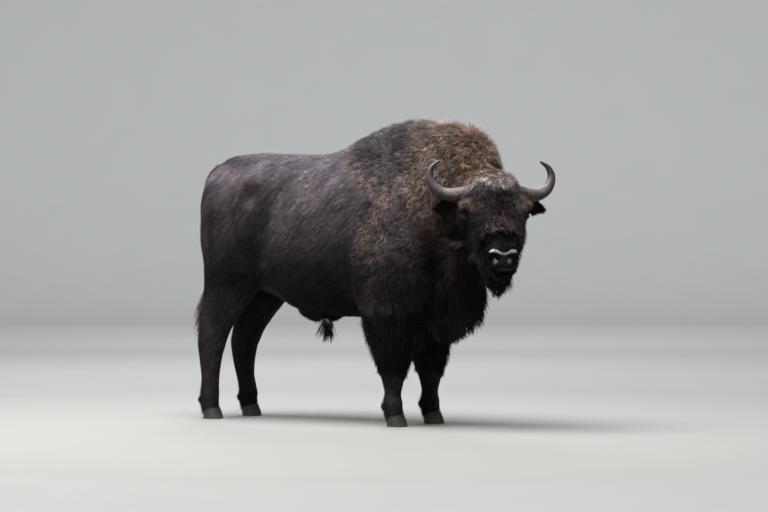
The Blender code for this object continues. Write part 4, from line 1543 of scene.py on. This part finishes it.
# How tufts are cut: segments, contrast, how far the skin's normal shades them, and their locks, as spacing,
# pull, spread of brightness and stretch.
SHORT_CUT = (1, 0.2, 0.8, (0.01, 0.1, 0.28, 1.9))
WOOL_CUT = (2, 0.3, 0.45, (0.0105, 0.46, 0.76, 1.6))
LEG_CUT = (1, 0.2, 0.75, (0.009, 0.1, 0.32, 2.4))

# Coat pieces of either side: name, slot, leading zones, way onto the map and cut.
SIDE_PIECES = (
    ("rump", "short_coat", ("flank", "saddle", "belly"), round_body, SHORT_CUT),
    ("barrel", "short_coat", ("flank", "saddle", "belly"), round_body, SHORT_CUT),
    ("shoulder", "long_coat", ("hump", "shoulder"), round_body, WOOL_CUT),
    ("neck", "long_coat", ("neck", "crest"), round_body, WOOL_CUT),
    ("legs", "leg_coat", ("shank", "cannon"), round_legs, LEG_CUT),
)

# Coat pieces that cover both sides.
WHOLE_PIECES = (
    ("throat", "mane", ("throat",), round_body, (4, 0.28, 0.45, (0.02, 0.6, 0.45, 4.0))),
    ("beard", "mane", ("beard",), round_head, (4, 0.26, 0.45, (0.016, 0.6, 0.45, 4.0))),
    ("forehead", "mane", ("mop",), round_head, (3, 0.28, 0.42, (0.012, 0.6, 0.92, 1.8))),
    ("face", "mane", ("face", "nose", "muzzle"), round_head, (3, 0.26, 0.45, (0.01, 0.55, 0.8, 1.8))),
    ("cheeks", "mane", ("cheek",), round_head, (3, 0.26, 0.48, (0.012, 0.55, 0.7, 2.0))),
    ("ears", "mane", ("ear",), round_head, (2, 0.2, 0.5, None)),
    ("forearms", "long_coat", ("forearm",), round_legs, (2, 0.3, 0.45, (0.012, 0.5, 0.42, 3.0))),
    ("tail", "short_coat", ("tail",), round_body, (1, 0.12, 0.6, None)),
)

# The rump's coat meets the barrel's here along the body.
RUMP_END = -0.55


def coat_pieces(skin):
    """Name, slot, way onto the map, cut and triangles of each coat piece, in order."""
    x, y, _ = skin.centres.T
    where = {"rump": x < RUMP_END, "barrel": x >= RUMP_END}

    def led_by(zones):
        return np.isin(skin.leading, [list(ZONES).index(zone) for zone in zones])

    for side_name, here in (("left", y > 0), ("right", y <= 0)):
        for name, slot, zones, homes, cut in SIDE_PIECES:
            chosen = led_by(zones) & here & where.get(name, True)
            yield f"coat_{name}_{side_name}", slot, homes, cut, chosen
    for name, slot, zones, homes, cut in WHOLE_PIECES:
        yield f"coat_{name}", slot, homes, cut, led_by(zones)


def make_coat(skin, name, slot, homes, cut, chosen, rng):
    """One coat piece on the chosen triangles of the skin."""
    segments, contrast, lean, locks = cut
    roots = Roots(skin, np.nonzero(chosen)[0], rng)
    pull, glow = np.zeros_like(roots.point), np.ones(len(roots.point))
    if locks:
        pull, glow = roots.locks(*locks, rng)
    drawn_out = streaks(roots.point, 0.02, 41, 0.66, roots.way.mean(axis=0))
    depth = 0.5 * locks[2] if locks else 0.1
    speckle = 0.16 * wander(roots.point, 0.015, 43) if segments == 1 else 0.0
    tone = roots.tone * (glow * np.exp(depth * drawn_out + speckle))[:, None]
    tufts = blades(roots.point, roots.normal, roots.way, roots.hair, tone, pull, segments, contrast, rng)
    mesh = tuft_mesh(*tufts, homes(roots.point), (roots.normal, lean), segments, name)
    finished(name, mesh, scene_materials["mane" if slot == "mane" else "coat"])


def prepare_triangles(skin):
    """Triangles of the skin with their areas, middles and leading zones, for the coat to be spread on."""
    skin.mesh.calc_loop_triangles()
    skin.triangles = read(skin.mesh, "triangles")
    a, b, c = (skin.points[skin.triangles[:, i]] for i in range(3))
    skin.areas = 0.5 * np.linalg.norm(np.cross(b - a, c - a), axis=1)
    skin.centres = (a + b + c) / 3
    table = np.stack([skin.masks[zone] for zone in ZONES], axis=1)
    skin.leading = table[skin.triangles].mean(axis=1).argmax(axis=1)
    local = HEAD.local(skin.centres)
    hidden = (skin.masks["muzzle"][skin.triangles].mean(axis=1) > 0.5) & (local[:, 1] > -0.02)
    for side in SIDES.values():
        centre, gaze, _, _ = lid_frame(side)
        away = local - centre
        hidden |= (np.linalg.norm(away, axis=1) < EYE_RADIUS + 0.007) & (away @ gaze > 0.0)
    skin.leading = np.where(hidden, -1, skin.leading)


HANGING_SEGMENTS = 5


def hanging_tuft(node, name, hair_length, colours, build, settings, number):
    """Locks of long hair hung from the inside of a node.

    build is the number of locks, the hairs of each, how far they spread and how far back they lean.
    """
    locks, hairs, spread, lean = build
    rng = np.random.default_rng([settings.seed, number])
    low, high = corners(node)
    points = read(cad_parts[node].data, "points")
    height = high[2] - low[2]
    level = high[2] - height * rng.uniform(0.02, 0.5, locks)
    ring = [points[np.abs(points[:, 2] - z) < 0.1 * height + 0.01] for z in level]
    centres = np.array([near.mean(axis=0) for near in ring])
    rims = np.array([near[rng.integers(0, len(near))] for near in ring])
    inner = centres + (rims - centres) * rng.uniform(0.15, 0.8, (locks, 1))
    inner[:, 2] = level
    outward = unit((inner - centres) * (1, 1, 0) + 1e-6)
    heading = outward * spread * rng.uniform(0.2, 1.0, (locks, 1))
    heading = heading + rng.normal(0.0, 0.25 * spread, (locks, 3))
    heading = unit(heading + (-lean, 0.0, -1.0))
    reach = np.minimum(hair_length, 1.04 * (level - low[2])) * rng.uniform(0.72, 1.05, locks)
    each = np.repeat(np.arange(locks), hairs)
    count = len(each)
    strayed = rng.normal(0.0, 0.005, (count, 3))
    root = inner[each] + strayed
    hair = {
        "length": reach[each] * rng.uniform(0.8, 1.0, count),
        "width": np.full(count, 0.0038),
        "rise": np.full(count, 0.1),
        "rest": np.full(count, -0.04),
        "wave": np.full(count, 0.1),
        "hang": np.full(count, 0.1),
    }
    root_tone, tip_tone = (np.array(tone) for tone in colours)
    share = rng.uniform(0.0, 1.0, locks)[each] * step(root[:, 2], high[2], low[2] + 0.4 * height)
    tones = mixed(root_tone, tip_tone, share[:, None])
    across = unit(outward[each] - heading[each] * dot(outward[each], heading[each])[:, None])
    tufts = blades(root, across, heading[each], hair, tones, -0.75 * strayed, HANGING_SEGMENTS, 0.25, rng)
    homes = homes_on(root, centres.mean(axis=0), 2)
    mesh = tuft_mesh(*tufts, homes, (across, 0.4), HANGING_SEGMENTS, name)
    piece = finished(name, mesh, scene_materials["mane"])
    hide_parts(node)


# ---------------------------------------------------------------- horns, hooves, eyes


# The horn's line: lateral, forward, up from the head's point, and radius.
HORN_ROWS = (
    (0.125, -0.01, 0.0, 0.04),
    (0.185, -0.02, -0.015, 0.04),
    (0.262, -0.038, -0.018, 0.036),
    (0.325, -0.055, 0.014, 0.031),
    (0.357, -0.07, 0.075, 0.024),
    (0.343, -0.078, 0.134, 0.016),
    (0.291, -0.08, 0.174, 0.005),
)


# Growth rings: how many, where the first and the last lie along the horn, and their half width.
RING_COUNT, RING_FIRST, RING_LAST, RING_WIDTH = 13, 0.16, 0.66, 0.011

# Fine ribs along the horn: how many and how high against the radius.
RIB_COUNT, RIB_HEIGHT = 5, 0.012


def make_horn(side_name, settings):
    side = SIDES[side_name]
    rows = catmull_rom(HORN_ROWS, 14)
    lateral, forward, up = (rows[:, axis : axis + 1] for axis in range(3))
    points = HEAD.at + lateral * side * HEAD.axes[0] + forward * HEAD.forward + up * UP
    steps = np.linalg.norm(np.diff(points, axis=0), axis=1)
    along = np.concatenate([[0.0], np.cumsum(steps)]) / steps.sum()
    strayed = np.random.default_rng(7).uniform(-0.012, 0.012, RING_COUNT)
    rings = np.zeros(len(along))
    for place in np.linspace(RING_FIRST, RING_LAST, RING_COUNT) + strayed:
        rings += np.exp(-(((along - place) / RING_WIDTH) ** 2))
    rings *= settings.ring_depth * step(along, 0.75, 0.15)
    tip = np.sqrt(np.clip((1.0 - along) / 0.012, 0.02, 1.0))
    shape = tube_rings(points, (rows[:, 3] + rings) * tip, settings.sides)
    turn = np.arange(settings.sides) * 2 * math.pi
    ribs = 1.0 + RIB_HEIGHT * np.sin(turn * RIB_COUNT / settings.sides)
    shape = points[:, None] + (shape - points[:, None]) * ribs[None, :, None]
    mesh = shell_mesh(shape)
    whole = np.append(np.repeat(along, settings.sides), (0.0, 1.0))
    turn = np.tile(turn / settings.sides, len(along))
    streaks = 0.5 + 0.5 * np.sin(turn * 9 + 2.0 * np.sin(turn * 2))
    keep_values(mesh, "along", whole)
    keep_values(mesh, "streaks", np.append(streaks, (0.5, 0.5)))
    # The downward-facing horn, short of its tip, is marked for painted shade.
    keep_values(mesh, "under", step(read(mesh, "normals")[:, 2], 0.25, -0.65) * step(whole, 0.95, 0.6))
    piece = finished(f"horn_{side_name}_sheath", mesh, scene_materials["horn"])
    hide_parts(f"horn_{side_name}")


# A claw's rings from the sole up: share of its height, and how far in from the wall.
CLAW_HEIGHTS = (0.0, 0.0, 0.1, 0.25, 0.42, 0.58, 0.74, 0.88, 1.0, 1.0)
CLAW_TOP_IN = 0.01

# How far toe, heel and side draw in from the sole to the top, as shares of length and width.
TOE_SLOPE, HEEL_SLOPE, SIDE_SLOPE = 0.24, 0.035, 0.085


def make_hoof(end, side_name, claw, settings):
    """One claw: a D in plan with a rounded sole edge, growth ridges and a coronet."""
    node = f"hoof_{end}_{side_name}_{claw}"
    (back, right, _), (front, left, top) = corners(node)
    inner = -SIDES[side_name] if claw == "inner" else SIDES[side_name]
    flat_y = right if inner > 0 else left
    width = left - right
    let_in = [settings.edge * 1.6, settings.edge * 0.4, *[0.0] * (len(CLAW_HEIGHTS) - 3), CLAW_TOP_IN]
    arc = np.linspace(0, math.pi, 25)
    rings = []
    for number, (height, edge) in enumerate(zip(CLAW_HEIGHTS, let_in)):
        toe = front - (front - back) * TOE_SLOPE * height - edge
        heel = back + (front - back) * HEEL_SLOPE * height + edge
        wide = width * (1.0 - SIDE_SLOPE * height) - edge
        ridge = settings.ridge * math.sin(height * 34.0)
        x = (toe + heel) / 2 + ((toe - heel) / 2 + ridge) * np.cos(arc)
        y = flat_y + inner * (edge * 0.5 + (wide + ridge) * np.sin(arc) ** 0.92)
        slope = 0.25 * (x - (toe + heel) / 2) * height
        z = (top - 0.014) * height + slope + (0.0012 if number == 1 else 0.0)
        rings.append(np.column_stack([x, y, np.minimum(z, top)]))
    mesh = shell_mesh(np.array(rings))
    keep_values(mesh, "low", step(read(mesh, "points")[:, 2], 0.045, 0.0))
    mesh.set_sharp_from_angle(angle=math.radians(50))
    piece = finished(f"claw_{end}_{side_name}_{claw}", mesh, scene_materials["hoof"])
    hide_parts(node)


def make_dewclaw(end, side_name, claw):
    node = f"dewclaw_{end}_{side_name}_{claw}"
    low, high = corners(node)
    centre, half = (low + high) / 2, (high - low) / 2
    made = ball_mesh((0.0, 0.0, 0.0), (1.0, 1.0, 1.0), 20, 14)
    points = read(made, "points")
    taper = 1.0 - 0.25 * step(points[:, 2], 0.2, -1.0)
    ridged = 1.0 + 0.02 * np.sin(points[:, 2] * 18.0)
    points = points * np.stack([taper * ridged, taper * ridged, np.ones(len(points))], axis=1)
    points[:, 0] -= 0.15 * (1.0 - points[:, 2] ** 2)
    points = centre + points * half * (0.9, 0.94, 0.97)
    write_points(made, points)
    keep_values(made, "low", np.full(len(points), 0.15))
    made.shade_smooth()
    piece = finished(f"dewclaw_{end}_{side_name}_{claw}_horn", made, scene_materials["hoof"])
    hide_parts(node)


# The ball's radius against its socket's, and the cornea's height and half width as an angle.
BALL_SHARE, CORNEA_HEIGHT, CORNEA_ANGLE = 0.975, 0.045, 0.55


def make_eye(side_name):
    """A ball with a raised cornea, turned to its gaze."""
    centre, gaze, slit, across = lid_frame(SIDES[side_name])
    turn = np.linspace(0, 2 * math.pi, 40, endpoint=False)
    rings = []
    for angle in np.linspace(0.02, math.pi - 0.02, 34):
        bulge = 1.0 + CORNEA_HEIGHT * math.exp(-((angle / CORNEA_ANGLE) ** 2))
        radius = EYE_RADIUS * BALL_SHARE * bulge
        ring = centre + gaze * (radius * math.cos(angle))
        around = np.outer(np.cos(turn), slit) + np.outer(np.sin(turn), across)
        rings.append(HEAD.world(ring + radius * math.sin(angle) * around))
    mesh = shell_mesh(np.array(rings))
    local = HEAD.local(read(mesh, "points")) - centre
    flat = round_eye(local, slit, across) / EYE_RADIUS
    keep_values(mesh, "from_gaze", np.where(local @ gaze > 0, flat, 1.0))
    piece = finished(f"eyeball_{side_name}", mesh, scene_materials["eye"])
    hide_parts(f"eye_{side_name}")


# ---------------------------------------------------------------- operators


scene_materials = {}
made_skin = []


class WISENT_OT_materials(bpy.types.Operator):
    """Make the materials of skin, coat, horn, hoof and eye"""

    bl_idname = "wisent.materials"
    bl_label = "Materials"

    def execute(self, context):
        scene = context.scene
        scene_materials["skin"] = skin_material()
        scene_materials["coat"] = coat_material("wisent_coat")
        scene_materials["mane"] = coat_material("wisent_mane", Sheen_Weight=0.01, Specular_IOR_Level=0.1)
        scene_materials["horn"] = horn_material(scene.wisent_horn)
        scene_materials["hoof"] = hoof_material(scene.wisent_hoof)
        scene_materials["eye"] = eye_material(scene.wisent_eye)
        return {"FINISHED"}


class WISENT_OT_skin(bpy.types.Operator):
    """Make the one skin that stands in for the flesh"""

    bl_idname = "wisent.skin"
    bl_label = "Skin"

    def execute(self, context):
        skin = make_skin(context.scene)
        prepare_triangles(skin)
        keep_values(skin.mesh, "pelage", skin.tone)
        keep_values(skin.mesh, "bare", step(skin.masks["muzzle"], 0.35, 0.75))
        skin.mesh.shade_smooth()
        piece = finished("skin", skin.mesh, scene_materials["skin"])
        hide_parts(*(node for nodes in FLESH.values() for node in nodes))
        made_skin.append(skin)
        return {"FINISHED"}


class WISENT_OT_coat(bpy.types.Operator):
    """Grow the tufts of the coat on the skin"""

    bl_idname = "wisent.coat"
    bl_label = "Coat"

    def execute(self, context):
        seed = context.scene.wisent_hair.seed
        for number, piece in enumerate(coat_pieces(made_skin[-1])):
            make_coat(made_skin[-1], *piece, np.random.default_rng([seed, number]))
        return {"FINISHED"}


class WISENT_OT_tufts(bpy.types.Operator):
    """Make the hanging tufts at the end of the tail and under the belly"""

    bl_idname = "wisent.tufts"
    bl_label = "Hanging tufts"

    def execute(self, context):
        hair = context.scene.wisent_hair
        pelage = context.scene.wisent_pelage
        dark, rusty = pelage.tail, tuple(0.9 * part for part in pelage.rust)
        brown = tuple(0.8 * part for part in pelage.brow)
        hanging_tuft("tail_tuft", "tail_switch", hair.switch, (brown, brown), (46, 30, 0.12, 0.17), hair, 101)
        hanging_tuft("sheath_tuft", "sheath_hair", hair.sheath, (dark, rusty), (24, 7, 0.46, 0.1), hair, 102)
        return {"FINISHED"}


class WISENT_OT_horns(bpy.types.Operator):
    """Make the two horns"""

    bl_idname = "wisent.horns"
    bl_label = "Horns"

    def execute(self, context):
        for side_name in SIDES:
            make_horn(side_name, context.scene.wisent_horn)
        return {"FINISHED"}


class WISENT_OT_hooves(bpy.types.Operator):
    """Make the claws and dewclaws of the four feet"""

    bl_idname = "wisent.hooves"
    bl_label = "Hooves"

    def execute(self, context):
        for end in ENDS:
            for side_name in SIDES:
                for claw in ("inner", "outer"):
                    make_hoof(end, side_name, claw, context.scene.wisent_hoof)
                    make_dewclaw(end, side_name, claw)
        return {"FINISHED"}


class WISENT_OT_eyes(bpy.types.Operator):
    """Make the two eyeballs"""

    bl_idname = "wisent.eyes"
    bl_label = "Eyes"

    def execute(self, context):
        for side_name in SIDES:
            make_eye(side_name)
        return {"FINISHED"}


class WISENT_OT_stage(bpy.types.Operator):
    """Make the floor, the lights and the camera"""

    bl_idname = "wisent.stage"
    bl_label = "Stage"

    def execute(self, context):
        settings = context.scene.wisent_stage
        make_floor(settings)
        make_lights(context.scene, settings)
        make_camera(context.scene)
        return {"FINISHED"}


FLOOR_SIDES = 96

# Radii of the floor's rings, out to where the floor bends up into the wall.
FLOOR_RINGS = (0.5, 4.0, 6.0, 8.0, 10.0, 12.0, 15.0, 18.0)
FLOOR_RADIUS, FLOOR_BEND, WALL_TOP = 24.0, 6.0, 12.0

# How far the floor's colour has turned to the wall's at each radius.
FADE_RADII = (3.5, 6.0, 9.0, 12.0, 18.0, 24.0, 29.0)
FADE = (0.0, 0.16, 0.44, 0.56, 0.62, 0.8, 1.0)


def make_floor(settings):
    """A wide floor that rises smoothly to a low wall all round."""
    arc = np.linspace(0, math.pi / 2, 12)
    radii = [*FLOOR_RINGS, *(FLOOR_RADIUS + FLOOR_BEND * np.sin(arc)), FLOOR_RADIUS + FLOOR_BEND]
    heights = [*([0.0] * len(FLOOR_RINGS)), *(FLOOR_BEND * (1 - np.cos(arc))), WALL_TOP]
    turn = np.linspace(0, 2 * math.pi, FLOOR_SIDES, endpoint=False)
    flat = np.column_stack([np.cos(turn), np.sin(turn), np.zeros(FLOOR_SIDES)])
    rings = np.array([radius * flat + (0.0, 0.0, height) for radius, height in zip(radii, heights)])
    index = np.arange(rings.shape[0] * FLOOR_SIDES).reshape(-1, FLOOR_SIDES)
    low, high = index[:-1], index[1:]
    quads = np.stack([low, high, np.roll(high, -1, 1), np.roll(low, -1, 1)], axis=-1).reshape(-1, 4)
    loops = np.concatenate([quads.ravel(), index[0]])
    mesh = mesh_of(rings.reshape(-1, 3), loops, [4] * len(quads) + [FLOOR_SIDES], "floor")
    away = np.linalg.norm(rings.reshape(-1, 3)[:, :2], axis=1)
    keep_values(mesh, "height", np.interp(away, FADE_RADII, FADE))
    look = Look("studio_floor", Roughness=0.9)
    grain = look.noise(2.0, 3.0)
    tone = look.mix(tuple(settings.floor), tuple(settings.wall), look.attribute("height"))
    look.feed("Base Color", look.scaled(tone, 0.97 + grain * 0.06))
    mesh.materials.append(look.material)
    new_object("floor", mesh)


def make_lights(scene, settings):
    def area(name, place, aim, size, power, tint):
        data = bpy.data.lights.new(name, "AREA")
        data.shape = "DISK"
        data.size = size
        data.energy = power
        data.color = tint
        obj = bpy.data.objects.new(name, data)
        obj.location = place
        obj.rotation_euler = (Vector(aim) - Vector(place)).to_track_quat("-Z", "Y").to_euler()
        scene.collection.objects.link(obj)

    area("key", (-0.8, -2.0, 8.5), (0.0, 0.0, 1.0), 7.0, settings.key, (1.0, 0.99, 0.97))
    area("fill", (8.0, -9.0, 4.0), (0.0, 0.0, 0.9), 6.0, settings.fill, (1.0, 0.99, 0.98))
    area("rim", (-5.0, 6.5, 6.0), (0.0, 0.0, 1.2), 5.0, settings.rim, (0.95, 0.97, 1.0))
    area("backdrop", (-7.0, 10.5, 11.0), (-17.0, 24.5, 3.0), 9.0, settings.backdrop, (1.0, 1.0, 1.0))
    world = bpy.data.worlds.new("studio")
    world.use_nodes = True
    background = world.node_tree.nodes["Background"]
    background.inputs["Color"].default_value = (0.92, 0.95, 1.0, 1.0)
    background.inputs["Strength"].default_value = settings.sky
    scene.world = world
    scene.view_settings.view_transform = "Standard"
    scene.view_settings.look = "None"


CAMERA_PLACE, CAMERA_TURN, CAMERA_LENS = (9.16677, -12.89327, 0.98), 35.0, 126.1


def make_camera(scene):
    """Level, 15.8 m from the animal, from ahead and to its right."""
    data = bpy.data.cameras.new("camera")
    data.sensor_width = 36.0
    data.lens = CAMERA_LENS
    data.clip_end = 200.0
    camera = bpy.data.objects.new("camera", data)
    camera.location = CAMERA_PLACE
    camera.rotation_euler = (math.radians(90.0), 0.0, math.radians(CAMERA_TURN))
    scene.collection.objects.link(camera)
    scene.camera = camera


OPERATORS = (
    WISENT_OT_materials,
    WISENT_OT_skin,
    WISENT_OT_coat,
    WISENT_OT_tufts,
    WISENT_OT_horns,
    WISENT_OT_hooves,
    WISENT_OT_eyes,
    WISENT_OT_stage,
)


class WISENT_PT_panel(bpy.types.Panel):
    """The steps that make the animal, in order"""

    bl_idname = "WISENT_PT_panel"
    bl_label = "Wisent"
    bl_space_type = "VIEW_3D"
    bl_region_type = "UI"
    bl_category = "Wisent"

    def draw(self, context):
        for operator in OPERATORS:
            self.layout.operator(operator.bl_idname)
        for name in GROUPS:
            box = self.layout.box()
            settings = getattr(context.scene, name)
            for key in settings.bl_rna.properties.keys():
                if key not in ("rna_type", "name"):
                    box.prop(settings, key)


def register():
    for name, group in GROUPS.items():
        bpy.utils.register_class(group)
        setattr(bpy.types.Scene, name, PointerProperty(type=group))
    for operator in OPERATORS:
        bpy.utils.register_class(operator)
    bpy.utils.register_class(WISENT_PT_panel)


def unregister():
    bpy.utils.unregister_class(WISENT_PT_panel)
    for operator in reversed(OPERATORS):
        bpy.utils.unregister_class(operator)
    for name, group in GROUPS.items():
        delattr(bpy.types.Scene, name)
        bpy.utils.unregister_class(group)


def main():
    register()
    for operator in OPERATORS:
        group, name = operator.bl_idname.split(".")
        getattr(getattr(bpy.ops, group), name)()


if __name__ == "__main__":
    main()
